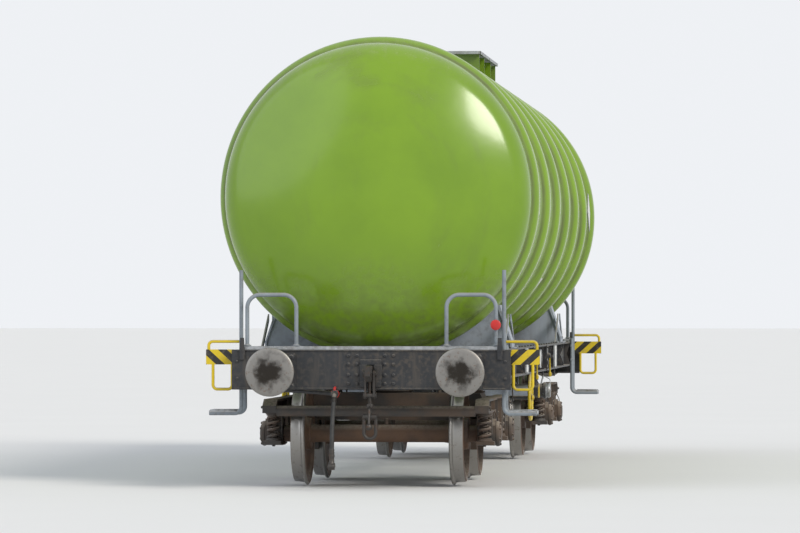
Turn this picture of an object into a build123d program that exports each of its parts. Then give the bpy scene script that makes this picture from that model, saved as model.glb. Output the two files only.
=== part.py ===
"""Four-axle railway tank wagon with external stiffening rings, in millimetres.

+X runs along the wagon to its front end, +Y to its left side and +Z up. The origin lies under the middle of
the wagon, level with the lowest point of the wheel flanges.
"""

from build123d import *
import os
from math import asin, cos, degrees, pi, radians, sin, sqrt, tan

os.makedirs("parts", exist_ok=True)

ENDS = {"rear": -1, "front": 1}
SIDES = {"right": -1, "left": 1}

# Wheels and axles
flange_depth = 28
tread_radius = 460
wheel_inner_face = 680
wheel_width = 135
flange_thickness = 32
flange_back = 8
flange_tip = 12
flange_root = 8
rim_depth = 62
hub_radius = 145
hub_overhang = 20
web_thickness = 28
web_setback = 40
web_dish = 30
axle_radius = 85
seal_radius = 82
seal_lead = 10
journal_radius = 60
journal_start = 925
journal_end = 1085
running_gap = 0.3

# Places along the wagon
length_over_buffers = 13400
buffer_reach = 620
dish_clearance = 128
pivot_setback = 1900
bogie_wheelbase = 1800

# Tank
shell_radius = 1450
tank_gap = 10
ring_count = 7
ring_margin = 191
ring_height = 68
ring_foot = 240
ring_top = 110

# Frame
sill_bottom = 1010
sill_top = 1290
sill_inner_face = 1130
sill_flange_width = 80
sill_web = 12
sill_flange = 18
headstock_half_width = 1300
headstock_bottom = 918
headstock_depth = 120
headstock_wall = 20
centre_sill_half_width = 170
centre_sill_top = 1200
centre_sill_wall = 14
centre_sill_overlap = 1280
cross_member_lead = 100
cross_member_width = 160
cross_member_wall = 12
bolster_length = 300
bolster_bottom = 960

# Saddles
saddle_angle = 46
saddle_length = 340
saddle_wrap = 20
saddle_plate = 16
saddle_plate_inset = 30
saddle_foot_overlap = 65
saddle_foot_height = 60
saddle_horn = 20
brace_reach = 760
brace_width = 70
brace_thickness = 14
brace_height = 330
brace_foot = 112
brace_setback = 30

# Bogie
side_frame_y = 1000
side_frame_width = 130
side_frame_top = 820
side_frame_underside = 690
side_frame_belly = 440
head_beam_lead = 82
frame_tip_drop = 60
frame_tip_length = 120
transom_half_length = 300
transom_bottom = 600
transom_rise = 240
transom_shoulder = 40
transom_drop = 40
transom_top = 860
head_beam_radius = 50
bowl_radius = 205
bowl_bore = 160
bowl_floor = 915
bowl_rim = 945
bearer_y = 850
bearer_gap = 5
bearer_length = 260
bearer_width = 90
bolster_taper = 180
axlebox_half_width = 118
axlebox_top = 628
axlebox_bottom = 378
axlebox_cover_end = 1130
axlebox_shoulder = 60
axlebox_crown = 60
axlebox_wall = 10
axlebox_cover_inset = 6
spring_seat_thickness = 30
spring_inset = 6
spring_offset = 205
spring_radius = 72
spring_seat_z = 420
block_gap = 8
block_thickness = 50
brake_beam_z = 440
brake_beam_side = 60
beam_gap = 25
beam_overhang = 20
block_length = 170
block_height = 300
block_setback = 30
block_drop = 40
hanger_y = 684
hanger_width = 24
hanger_half = 20
hanger_setback = 34
hanger_pad_height = 40
hanger_pad_drop = 80
hanger_pad_length = 54

# Buffers and draw gear
buffer_z = 1088
buffer_y = 875
buffer_head_radius = 225
buffer_plate_side = 340
buffer_plate_thickness = 24
buffer_plate_corner = 20
buffer_head_thickness = 34
buffer_neck_length = 20
housing_radius = 115
plunger_radius = 88
plunger_sink = 60
housing_length = 330
hook_z = 1068
hook_thickness = 50
hook_outline = (
    (0, -70),
    (120, -60),
    (250, -75),
    (330, -20),
    (345, 70),
    (290, 80),
    (270, 10),
    (215, 0),
    (190, 75),
    (0, 60),
)
coupling_pin_x = 95
coupling_pin_radius = 23
coupling_pin_overhang = 30
link_length = 200
link_width = 70
link_gap = 7
link_thickness = 18
nut_pin_radius = 24
nut_drop = 400
screw_radius = 20
screw_overhang = 20
bow_drop = 600
bow_radius = 16
bow_bend = 50
bow_overhang = 12

# Top of the tank
manhole_radius = 250
manhole_wall = 12
manhole_flange_radius = 292
manhole_flange_thickness = 24
neck_height = 85
lid_thickness = 26
lid_rise = 18
lid_inset = 4
lid_step = 20
lid_slope = 50
lid_pin_radius = 10
lid_pin_x = -325
lug_half = 28
lug_thickness = 26
lug_gap = 1
lug_reach = 22
valve_sizes = ((-0.323, 95, 75), (0.277, 70, 90), (0.669, 55, 60))
valve_flange_height = 22
valve_flange_rim = 25
walkway_thickness = 30
walkway_half_length = 1250
walkway_inner = 330
walkway_width = 400
crown_walk_setback = 240
bracket_thickness = 12
bracket_sink = 60
side_bracket_places = (-1150, -450, 450, 1150)
crown_bracket_shares = (0.52, 1.33, 1.76, 2.34, 2.77)
ladder_setback = 50
ladder_inner = 270
ladder_width = 360
ladder_landing = 30
ladder_bend = 70
handrail_rise = 60
rung_pitch = 300
rung_radius = 12
landing_rungs = (180, 420)

# Ends
platform_thickness = 30
platform_length = 380
tube_radius = 19
hoop_setback = 45
hoop_edge = 50
hoop_width = 460
hoop_bend = 120
hoop_height = 1800
post_top = 2030
short_post_rise = 40
step_z = 695
step_depth = 290
step_run = 301
step_width = 250
step_thickness = 22
step_bend = 60
board_bottom = 1150
board_height = 140
board_thickness = 10
board_overhang = 30
board_setback = 150
grip_radius = 14
grip_bend = 40
grip_rise = 75
grip_drop = 230
grip_inset = 25
hanging_grip_width = 180
hanging_grip_inset = 40

# Bogie details
guide_inner = 122
guide_outer = 132
guide_foot = 470
belly_half_length = 430
belly_slope = 110
frame_flange = 20
frame_recess = 52
frame_rib = 12
frame_rib_places = (240, 640, 1160)
block_y = 774
block_half_width = 38

# Brake gear and outlet
pipe_radius = 21
pipe_overhang = 110
pipe_end_y = 330
pipe_end_z = 880
pipe_inset = 35
pipe_side_z = 930
pipe_bend = 150
pipe_straight = 130
pipe_slant = 270
clip_count = 5
clip_length = 30
clip_width = 24
cock_length = 90
cock_radius = 34
cock_slope = 45
nozzle_length = 60
nozzle_radius = 26
hose_radius = 20
hose_run = 300
hose_head_length = 110
hose_head_radius = 34
hose_claw = 62
reservoir_lead = 120
reservoir_gap = 332
reservoir_radius = 190
reservoir_y = -620
reservoir_z = 790
strap_width = 50
hanger_height = 40
strap_lead = 237.6
strap_end_gap = 237.6
reservoir_end_round = 85
cylinder_length = 420
cylinder_radius = 178
cylinder_z = 800
cylinder_rim = 22
cylinder_cap = 20
cylinder_cover = 24
push_rod_radius = 38
push_rod_length = 360
outlet_z = 800
outlet_radius = 84
outlet_pad = 60
outlet_pad_drop = 60
outlet_pad_thickness = 28
outlet_pipe_radius = 58
outlet_half_width = 1060
outlet_flange = 24
outlet_flange_rim = 32
outlet_valve_length = 110
outlet_stem_radius = 24
outlet_stem_length = 148
outlet_cap_length = 46
handwheel_setback = 700
handwheel_z = 780
handwheel_y = 1240
handwheel_radius = 220
handwheel_rim = 14
handwheel_spoke = 9
handwheel_hub = 34
handwheel_shaft = 17
handwheel_plates = (1060, 620)
handwheel_bar = 60
handwheel_bar_height = 40

headstock_face = length_over_buffers / 2 - buffer_reach
bogie_pivot = headstock_face - pivot_setback
half_wheelbase = bogie_wheelbase / 2
side_frame_half_length = half_wheelbase + tread_radius + flange_depth + head_beam_lead
axle_z = flange_depth + tread_radius
centre_sill_inner_end = bogie_pivot - centre_sill_overlap
cross_member_pitch = (centre_sill_inner_end + cross_member_lead) / 2

tank_bottom = centre_sill_top + ring_height + tank_gap
tank_axis_z = tank_bottom + shell_radius
tank_top = tank_axis_z + shell_radius
crown_radius = 2 * shell_radius
knuckle_radius = shell_radius / 5
crown_setback = sqrt((crown_radius - knuckle_radius) ** 2 - (shell_radius - knuckle_radius) ** 2)
shell_half_length = headstock_face - dish_clearance - crown_radius + crown_setback
ring_pitch = 2 * (shell_half_length - ring_margin) / (ring_count - 1)

manhole_x = -ring_pitch / 2
walkway_z = tank_top + ring_height
platform_half_width = sill_inner_face + sill_flange_width
post_y = platform_half_width + tube_radius
step_reach = post_y + step_run
saddle_foot_half_width = sill_inner_face + saddle_foot_overlap
board_outer = step_reach + board_overhang
board_x = headstock_face - board_setback
pipe_side_y = sill_inner_face + pipe_inset
reservoir_start = cross_member_pitch - reservoir_lead
reservoir_end = bogie_pivot - half_wheelbase - tread_radius - flange_depth - reservoir_gap
reservoir_length = reservoir_end - reservoir_start
strap_places = (reservoir_start + strap_lead, reservoir_end - strap_end_gap)
cylinder_x = cylinder_cap - cross_member_pitch - cross_member_width / 2
outlet_x = cross_member_pitch / 2

wheelset_places = {
    "wheelset_1": -bogie_pivot - bogie_wheelbase / 2,
    "wheelset_2": -bogie_pivot + bogie_wheelbase / 2,
    "wheelset_3": bogie_pivot - bogie_wheelbase / 2,
    "wheelset_4": bogie_pivot + bogie_wheelbase / 2,
}


def finish(piece, name):
    """Labels a finished piece and writes it."""
    piece.part.label = name
    export_step(piece.part, f"parts/{name}.step")


def tank_height(y):
    """Height of the shell's upper surface at the distance y from the middle."""
    return tank_axis_z + sqrt(shell_radius**2 - y**2)


def level(x, y, z):
    """A level sketch plane with its middle at the given place."""
    return Plane((x, y, z), x_dir=(1, 0, 0), z_dir=(0, 0, 1))


def upright(x, y):
    """An upright sketch plane along the wagon, drawn in distances from x and in heights."""
    return Plane((x, y, 0), x_dir=(1, 0, 0), z_dir=(0, -1, 0))


def tube(points, bend, radius=tube_radius):
    """A round bar along straight runs and tangent bends, joined to the part that is being built."""
    with BuildLine(mode=Mode.PRIVATE) as route:
        FilletPolyline(*points, radius=bend)
    for run in route.edges():
        with BuildSketch(Plane(run @ 0, z_dir=run % 0)) as profile:
            Circle(radius)
        if run.geom_type == GeomType.LINE:
            extrude(profile.sketch, amount=run.length)
        else:
            spoke = run @ 0 - run.arc_center
            bend_axis = Axis(run.arc_center, spoke.cross(run % 0))
            revolve(profile.sketch, axis=bend_axis, revolution_arc=degrees(run.length / run.radius))


def build_tank_shell():
    """Shell, dished ends and stiffening rings, turned about the tank's axis."""
    knuckle_r = shell_radius - knuckle_radius
    crown_x = shell_half_length - crown_setback
    tip_x = crown_x + crown_radius
    split_angle = asin(knuckle_r / (crown_radius - knuckle_radius))
    knuckle_middle = (split_angle + pi / 2) / 2

    def on_crown(angle):
        return crown_x + crown_radius * cos(angle), crown_radius * sin(angle)

    def on_knuckle(angle):
        return shell_half_length + knuckle_radius * cos(angle), knuckle_r + knuckle_radius * sin(angle)

    def at(x, r, end):
        return end * x, tank_axis_z + r

    with BuildPart() as shell:
        with BuildSketch(Plane.XZ):
            with BuildLine():
                for end in (-1, 1):
                    ThreePointArc(
                        at(tip_x, 0, end),
                        at(*on_crown(split_angle / 2), end),
                        at(*on_crown(split_angle), end),
                    )
                    ThreePointArc(
                        at(*on_crown(split_angle), end),
                        at(*on_knuckle(knuckle_middle), end),
                        at(shell_half_length, shell_radius, end),
                    )
                outline = [at(shell_half_length, shell_radius, -1)]
                for number in range(ring_count):
                    ring_x = (number - (ring_count - 1) / 2) * ring_pitch
                    for offset, height in (
                        (-ring_foot / 2, 0),
                        (-ring_top / 2, ring_height),
                        (ring_top / 2, ring_height),
                        (ring_foot / 2, 0),
                    ):
                        outline.append((ring_x + offset, tank_axis_z + shell_radius + height))
                outline.append(at(shell_half_length, shell_radius, 1))
                Polyline(*outline)
                Line((-tip_x, tank_axis_z), (tip_x, tank_axis_z))
            make_face()
        revolve(axis=Axis((0, 0, tank_axis_z), (1, 0, 0)))
    finish(shell, "tank_shell")


def build_manhole():
    """Neck with its flange and hinge lugs, and the lid that turns on the pin between them."""
    rim_z = tank_top + neck_height
    pin_z = rim_z + lid_thickness / 2
    flange_bottom = rim_z - manhole_flange_thickness
    with BuildPart() as neck:
        with BuildSketch(level(manhole_x, 0, tank_axis_z)):
            Circle(manhole_radius)
        extrude(amount=rim_z - tank_axis_z)
        with BuildSketch(level(manhole_x, 0, rim_z)):
            Circle(manhole_flange_radius)
        extrude(amount=-manhole_flange_thickness)
        for side in SIDES.values():
            y = side * (lug_half + lug_gap + lug_thickness / 2)
            with BuildSketch(upright(manhole_x, y)):
                with BuildLine():
                    Polyline(
                        (-manhole_radius, flange_bottom),
                        (lid_pin_x - lug_reach, flange_bottom),
                        (lid_pin_x - lug_reach, pin_z + lid_inset),
                        (lid_pin_x + lug_reach, pin_z + lid_inset),
                        (lid_pin_x + lug_reach, rim_z - lid_inset),
                        (-manhole_radius, rim_z - lid_inset),
                        close=True,
                    )
                make_face()
            extrude(amount=lug_thickness / 2, both=True)
        with BuildSketch(level(manhole_x, 0, tank_axis_z)):
            Circle(manhole_radius - manhole_wall)
        extrude(amount=rim_z - tank_axis_z, mode=Mode.SUBTRACT)
        with BuildSketch(Plane.YZ.offset(manhole_x)):
            with Locations((0, tank_axis_z)):
                Circle(shell_radius)
        extrude(amount=2 * manhole_flange_radius, both=True, mode=Mode.SUBTRACT)
        with BuildSketch(upright(manhole_x, 0)):
            with Locations((lid_pin_x, pin_z)):
                Circle(lid_pin_radius)
        extrude(amount=lug_half + lug_gap + lug_thickness, both=True)
    finish(neck, "manhole_neck")

    bottom = rim_z + running_gap
    lid_radius = manhole_flange_radius - lid_inset
    knuckle = 2 * lid_pin_radius
    with BuildPart() as lid:
        with BuildSketch(upright(manhole_x, 0)):
            with BuildLine():
                Polyline(
                    (0, bottom),
                    (lid_radius, bottom),
                    (lid_radius, bottom + lid_thickness),
                    (manhole_radius - lid_step, bottom + lid_thickness),
                    (manhole_radius - lid_step - lid_slope, bottom + lid_thickness + lid_rise),
                    (0, bottom + lid_thickness + lid_rise),
                    close=True,
                )
            make_face()
        revolve(axis=Axis((manhole_x, 0, 0), (0, 0, 1)))
        with BuildSketch(upright(manhole_x, 0)):
            with BuildLine():
                Polyline(
                    (-manhole_radius, bottom + lug_gap),
                    (lid_pin_x, bottom + lug_gap),
                    (lid_pin_x, pin_z + knuckle),
                    (-manhole_radius, bottom + lid_thickness),
                    close=True,
                )
            make_face()
            with Locations((lid_pin_x, pin_z)):
                Circle(knuckle)
        extrude(amount=lug_half, both=True)
        with BuildSketch(upright(manhole_x, 0)):
            with Locations((lid_pin_x, pin_z)):
                Circle(lid_pin_radius + running_gap)
        extrude(amount=lug_half + lug_gap, both=True, mode=Mode.SUBTRACT)
    finish(lid, "manhole_lid")


def build_top_fittings():
    """Turned valve bodies that stand on the crown beside the manhole."""
    with BuildPart() as valves:
        for share, radius, height in valve_sizes:
            x = manhole_x + share * ring_pitch
            with BuildSketch(level(x, 0, tank_axis_z)):
                Circle(radius)
            extrude(amount=shell_radius + height - valve_flange_height)
            with BuildSketch(level(x, 0, tank_top + height - valve_flange_height)):
                Circle(radius + valve_flange_rim)
            extrude(amount=-valve_flange_height)
        with BuildSketch(Plane.YZ.offset(manhole_x)):
            with Locations((0, tank_axis_z)):
                Circle(shell_radius)
        extrude(amount=2 * ring_pitch, both=True, mode=Mode.SUBTRACT)
    finish(valves, "top_valves")


def build_walkways():
    """Gratings beside the manhole and along the crown, with plate brackets that stand on the shell."""
    with BuildPart() as side_walks:
        for side in SIDES.values():
            with BuildSketch(level(manhole_x, side * (walkway_inner + walkway_width / 2), walkway_z)):
                Rectangle(2 * walkway_half_length, walkway_width)
            extrude(amount=walkway_thickness)
    finish(side_walks, "manhole_walkways")

    crown_walk_start = manhole_x + walkway_half_length
    crown_walk_end = shell_half_length - crown_walk_setback
    with BuildPart() as crown_walk:
        with BuildSketch(level((crown_walk_start + crown_walk_end) / 2, walkway_inner, walkway_z)):
            Rectangle(crown_walk_end - crown_walk_start, walkway_width)
        extrude(amount=walkway_thickness)
    finish(crown_walk, "crown_walkway")

    bracket_places = []
    for side in SIDES.values():
        for x in side_bracket_places:
            bracket_places.append((manhole_x + x, side * (walkway_inner + walkway_width / 2)))
    for share in crown_bracket_shares:
        bracket_places.append((share * ring_pitch, walkway_inner))
    with BuildPart() as brackets:
        for x, y in bracket_places:
            low = tank_height(abs(y) + walkway_width / 2) - bracket_sink
            with BuildSketch(Plane.YZ.offset(x)):
                with Locations((y, (low + walkway_z) / 2)):
                    Rectangle(0.9 * walkway_width, walkway_z - low)
                with Locations((0, tank_axis_z)):
                    Circle(shell_radius, mode=Mode.SUBTRACT)
            extrude(amount=bracket_thickness / 2, both=True)
    finish(brackets, "walkway_brackets")


def build_ladder():
    """Ladder at the front end, with stiles that curve over the dished end onto the shell."""
    top_z = walkway_z + handrail_rise
    ladder_x = headstock_face - ladder_setback
    landing_x = shell_half_length - ladder_landing
    foot_z = sill_top + platform_thickness
    with BuildPart() as ladder:
        for y in (ladder_inner, ladder_inner + ladder_width):
            tube(
                [
                    (ladder_x, y, foot_z),
                    (ladder_x, y, top_z),
                    (landing_x, y, top_z),
                    (landing_x, y, tank_height(y) - ladder_landing),
                ],
                ladder_bend,
            )
        with BuildSketch(Plane.YZ.offset(landing_x)):
            with Locations((0, tank_axis_z)):
                Circle(shell_radius)
        extrude(amount=4 * tube_radius, both=True, mode=Mode.SUBTRACT)
        rung_places = [(landing_x + reach, top_z) for reach in landing_rungs]
        for number in range(1, int((top_z - foot_z) / rung_pitch)):
            rung_places.append((ladder_x, foot_z + number * rung_pitch))
        with BuildSketch(Plane.XZ.offset(-ladder_inner)):
            with Locations(*rung_places):
                Circle(rung_radius)
        extrude(amount=-ladder_width)
    finish(ladder, "end_ladder")


def build_frame():
    """Side sills, stub centre sills, cross members, headstocks and body bolsters."""
    inner_end = headstock_face - headstock_depth
    for side_name, side in SIDES.items():
        with BuildPart() as sill:
            with BuildSketch(Plane.YZ.offset(-inner_end)):
                sill_y = side * (sill_inner_face + sill_flange_width / 2)
                with Locations((sill_y, (sill_bottom + sill_top) / 2)):
                    Rectangle(sill_flange_width, sill_top - sill_bottom)
                recess = sill_flange_width - sill_web
                with Locations(
                    (side * (sill_inner_face + sill_web + recess / 2), (sill_bottom + sill_top) / 2)
                ):
                    Rectangle(recess, sill_top - sill_bottom - 2 * sill_flange, mode=Mode.SUBTRACT)
            extrude(amount=2 * inner_end)
        finish(sill, f"side_sill_{side_name}")

    with BuildPart() as stubs:
        for end in ENDS.values():
            with BuildSketch(Plane.YZ.offset(end * centre_sill_inner_end)):
                height = centre_sill_top - sill_bottom
                with Locations((0, sill_bottom + height / 2)):
                    Rectangle(2 * centre_sill_half_width, height)
                with Locations((0, sill_bottom + (height - centre_sill_wall) / 2)):
                    Rectangle(
                        2 * (centre_sill_half_width - centre_sill_wall),
                        height - centre_sill_wall,
                        mode=Mode.SUBTRACT,
                    )
            extrude(amount=end * (inner_end - centre_sill_inner_end))
    finish(stubs, "centre_sills")

    with BuildPart() as members:
        height = centre_sill_top - sill_bottom
        places = [-cross_member_pitch, 0, cross_member_pitch]
        for end in ENDS.values():
            places.append(end * (centre_sill_inner_end - cross_member_width / 2))
        for x in places:
            with BuildSketch(Plane.XZ):
                with Locations((x, sill_bottom + height / 2)):
                    Rectangle(cross_member_width, height)
                with Locations((x, sill_bottom + (height - cross_member_wall) / 2)):
                    Rectangle(
                        cross_member_width - 2 * cross_member_wall,
                        height - cross_member_wall,
                        mode=Mode.SUBTRACT,
                    )
            extrude(amount=sill_inner_face, both=True)
    finish(members, "cross_members")

    for end_name, end in ENDS.items():
        with BuildPart() as headstock:
            middle_x = end * (headstock_face - headstock_depth / 2)
            with BuildSketch(Plane.XZ.offset(-headstock_half_width)):
                with Locations((middle_x, (headstock_bottom + sill_top) / 2)):
                    Rectangle(headstock_depth, sill_top - headstock_bottom)
                with Locations((middle_x - end * headstock_wall / 2, (headstock_bottom + sill_top) / 2)):
                    Rectangle(
                        headstock_depth - headstock_wall,
                        sill_top - headstock_bottom - 2 * headstock_wall,
                        mode=Mode.SUBTRACT,
                    )
            extrude(amount=2 * headstock_half_width)
        finish(headstock, f"headstock_{end_name}")

    with BuildPart() as bolsters:
        for end in ENDS.values():
            with BuildSketch(Plane.YZ.offset(end * bogie_pivot)):
                with BuildLine():
                    Polyline(
                        (-sill_inner_face, sill_bottom),
                        (-bearer_y - bolster_taper, bolster_bottom),
                        (bearer_y + bolster_taper, bolster_bottom),
                        (sill_inner_face, sill_bottom),
                        (sill_inner_face, centre_sill_top),
                        (centre_sill_half_width, centre_sill_top),
                        (centre_sill_half_width, sill_bottom),
                        (-centre_sill_half_width, sill_bottom),
                        (-centre_sill_half_width, centre_sill_top),
                        (-sill_inner_face, centre_sill_top),
                        close=True,
                    )
                make_face()
            extrude(amount=bolster_length / 2, both=True)
            with BuildSketch(Plane.XY.offset(bolster_bottom)):
                with Locations((end * bogie_pivot, 0)):
                    Circle(bowl_bore - running_gap)
            extrude(amount=bowl_floor + running_gap - bolster_bottom)
    finish(bolsters, "body_bolsters")


def build_saddles():
    """Cradles between the frame and the tank, and the bars that brace them lengthwise."""
    half_angle = radians(saddle_angle)
    tip_y = (shell_radius + saddle_wrap) * sin(half_angle)
    tip_z = tank_axis_z - (shell_radius + saddle_wrap) * cos(half_angle)
    for end_name, end in ENDS.items():
        middle = end * bogie_pivot
        with BuildPart() as saddle:
            for shift in (-1, 1):
                plate_x = middle + shift * (saddle_length / 2 - saddle_plate_inset)
                with BuildSketch(Plane.YZ.offset(plate_x)):
                    with BuildLine():
                        Polyline(
                            (-sill_inner_face, centre_sill_top),
                            (-sill_inner_face, sill_top),
                            (-saddle_foot_half_width, sill_top),
                            (-saddle_foot_half_width, sill_top + saddle_foot_height),
                            (-tip_y - saddle_horn, tip_z),
                            (tip_y + saddle_horn, tip_z),
                            (saddle_foot_half_width, sill_top + saddle_foot_height),
                            (saddle_foot_half_width, sill_top),
                            (sill_inner_face, sill_top),
                            (sill_inner_face, centre_sill_top),
                            close=True,
                        )
                    make_face()
                    with Locations((0, tank_axis_z)):
                        Circle(shell_radius, mode=Mode.SUBTRACT)
                extrude(amount=saddle_plate / 2, both=True)
            with BuildSketch(Plane.YZ.offset(middle)):
                with Locations((0, tank_axis_z)):
                    Circle(shell_radius + saddle_wrap)
                    Circle(shell_radius, mode=Mode.SUBTRACT)
                with Locations((0, tip_z + shell_radius)):
                    Rectangle(4 * shell_radius, 2 * shell_radius, mode=Mode.SUBTRACT)
            extrude(amount=saddle_length / 2, both=True)
            for side in SIDES.values():
                with BuildSketch(Plane.YZ.offset(middle)):
                    with BuildLine():
                        Polyline(
                            (side * saddle_foot_half_width, sill_top),
                            (side * saddle_foot_half_width, sill_top + saddle_foot_height),
                            (side * (tip_y + saddle_horn), tip_z),
                            (side * (tip_y - saddle_wrap / 2), tip_z),
                            (side * (saddle_foot_half_width - saddle_plate), sill_top + saddle_foot_height),
                            (side * (saddle_foot_half_width - saddle_plate), sill_top),
                            close=True,
                        )
                    make_face()
                extrude(amount=saddle_length / 2, both=True)
        finish(saddle, f"saddle_{end_name}")

    with BuildPart() as braces:
        for end in ENDS.values():
            for direction in (-1, 1):
                for side in SIDES.values():
                    foot_x = end * bogie_pivot + direction * brace_reach
                    head_x = end * bogie_pivot + direction * saddle_length / 2
                    middle_y = side * (sill_inner_face + brace_setback)
                    head_z = sill_top + brace_height
                    with BuildSketch(Plane.XZ.offset(-middle_y)):
                        with BuildLine():
                            Polyline(
                                (foot_x, sill_top),
                                (foot_x - direction * brace_foot, sill_top),
                                (head_x, head_z - brace_width),
                                (head_x, head_z),
                                close=True,
                            )
                        make_face()
                    extrude(amount=brace_thickness / 2, both=True)
    finish(braces, "saddle_braces")


def build_ends():
    """Platforms, hoop handrails, corner steps, striped boards and yellow grips at both ends."""
    with BuildPart() as platforms:
        for end in ENDS.values():
            with BuildSketch(level(end * (headstock_face - platform_length / 2), 0, sill_top)):
                Rectangle(platform_length, 2 * platform_half_width)
            extrude(amount=platform_thickness)
    finish(platforms, "end_platforms")

    floor = sill_top + platform_thickness
    hoop_outer = platform_half_width - hoop_edge
    hoop_inner = hoop_outer - hoop_width
    with BuildPart() as hoops:
        for end in ENDS.values():
            for side in SIDES.values():
                x = end * (headstock_face - hoop_setback)
                tube(
                    [
                        (x, side * hoop_inner, floor),
                        (x, side * hoop_inner, hoop_height),
                        (x, side * hoop_outer, hoop_height),
                        (x, side * hoop_outer, floor),
                    ],
                    hoop_bend,
                )
    finish(hoops, "end_handrails")

    with BuildPart() as steps:
        for end in ENDS.values():
            for side in SIDES.values():
                for x, top in ((board_x, post_top), (board_x - step_depth, sill_top + short_post_rise)):
                    tube(
                        [
                            (end * x, side * post_y, top),
                            (end * x, side * post_y, step_z),
                            (end * x, side * step_reach, step_z),
                        ],
                        step_bend,
                    )
                middle_y = side * (step_reach - step_width / 2)
                with BuildSketch(level(end * (board_x - step_depth / 2), middle_y, step_z)):
                    Rectangle(step_depth + tube_radius, step_width)
                extrude(amount=step_thickness)
    finish(steps, "corner_steps")

    board_inner = post_y + tube_radius
    with BuildPart() as boards:
        for end in ENDS.values():
            for side in SIDES.values():
                width = board_outer - board_inner
                with BuildSketch(Plane.YZ.offset(end * board_x)):
                    with Locations((side * (board_inner + width / 2), board_bottom + board_height / 2)):
                        Rectangle(width, board_height)
                extrude(amount=board_thickness / 2, both=True)
    finish(boards, "striped_boards")

    board_top = board_bottom + board_height
    grip_y = board_outer - grip_inset
    hanging_outer = grip_y - hanging_grip_inset
    hanging_inner = hanging_outer - hanging_grip_width
    with BuildPart() as grips:
        for end in ENDS.values():
            for side in SIDES.values():
                x = end * board_x
                tube(
                    [
                        (x, side * board_inner, board_top + grip_rise),
                        (x, side * grip_y, board_top + grip_rise),
                        (x, side * grip_y, board_top),
                    ],
                    grip_bend,
                    grip_radius,
                )
                tube(
                    [
                        (x, side * hanging_inner, board_bottom),
                        (x, side * hanging_inner, board_bottom - grip_drop),
                        (x, side * hanging_outer, board_bottom - grip_drop),
                        (x, side * hanging_outer, board_bottom),
                    ],
                    grip_bend,
                    grip_radius,
                )
    finish(grips, "shunter_grips")


def build_buffers():
    """Buffer housings bolted to the headstocks, and the plungers with their round heads."""
    with BuildPart() as housings:
        for end in ENDS.values():
            for side in SIDES.values():
                with BuildSketch(Plane.YZ.offset(end * headstock_face)):
                    with Locations((side * buffer_y, buffer_z)):
                        RectangleRounded(buffer_plate_side, buffer_plate_side, buffer_plate_corner)
                extrude(amount=end * buffer_plate_thickness)
                with BuildSketch(Plane.YZ.offset(end * (headstock_face + buffer_plate_thickness))):
                    with Locations((side * buffer_y, buffer_z)):
                        Circle(housing_radius)
                extrude(amount=end * (housing_length - buffer_plate_thickness))
                with BuildSketch(Plane.YZ.offset(end * (headstock_face + housing_length))):
                    with Locations((side * buffer_y, buffer_z)):
                        Circle(plunger_radius)
                extrude(amount=-end * plunger_sink, mode=Mode.SUBTRACT)
    finish(housings, "buffer_housings")

    with BuildPart() as heads:
        for end in ENDS.values():
            for side in SIDES.values():
                start = headstock_face + housing_length - plunger_sink
                face = headstock_face + buffer_reach
                with BuildSketch(Plane.YZ.offset(end * start)):
                    with Locations((side * buffer_y, buffer_z)):
                        Circle(plunger_radius)
                extrude(amount=end * (face - start - buffer_neck_length))
                with BuildSketch(Plane.YZ.offset(end * face)):
                    with Locations((side * buffer_y, buffer_z)):
                        Circle(buffer_head_radius)
                extrude(amount=-end * buffer_head_thickness)
    finish(heads, "buffer_heads")


def build_draw_gear():
    """Draw hooks and the screw couplings that hang from them."""
    with BuildPart() as hooks:
        for end in ENDS.values():
            with BuildSketch(Plane.XZ):
                with BuildLine():
                    Polyline(*[(end * (headstock_face + x), hook_z + z) for x, z in hook_outline], close=True)
                make_face()
                with Locations((end * (headstock_face + coupling_pin_x), hook_z)):
                    Circle(coupling_pin_radius + running_gap, mode=Mode.SUBTRACT)
            extrude(amount=hook_thickness / 2, both=True)
    finish(hooks, "draw_hooks")

    pin_half = hook_thickness / 2 + coupling_pin_overhang
    link_y = hook_thickness / 2 + link_gap + link_thickness / 2
    with BuildPart() as couplings:
        for end in ENDS.values():
            x = end * (headstock_face + coupling_pin_x)
            pins = (
                (hook_z, coupling_pin_radius, pin_half),
                (hook_z - link_length, nut_pin_radius, pin_half),
                (hook_z - nut_drop, nut_pin_radius, pin_half + bow_overhang),
            )
            for z, radius, half_length in pins:
                with BuildSketch(upright(x, 0)):
                    with Locations((0, z)):
                        Circle(radius)
                extrude(amount=half_length, both=True)
            for side in SIDES.values():
                with BuildSketch(upright(x, side * link_y)):
                    with Locations((0, hook_z - link_length / 2)):
                        SlotOverall(link_length + link_width, link_width, rotation=90)
                extrude(amount=link_thickness / 2, both=True)
            with BuildSketch(level(x, 0, hook_z - nut_drop - screw_overhang)):
                Circle(screw_radius)
            extrude(amount=nut_drop - link_length + screw_overhang)
            tube(
                [
                    (x, -pin_half, hook_z - nut_drop),
                    (x, -pin_half, hook_z - bow_drop),
                    (x, pin_half, hook_z - bow_drop),
                    (x, pin_half, hook_z - nut_drop),
                ],
                bow_bend,
                bow_radius,
            )
    finish(couplings, "screw_couplings")


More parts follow.
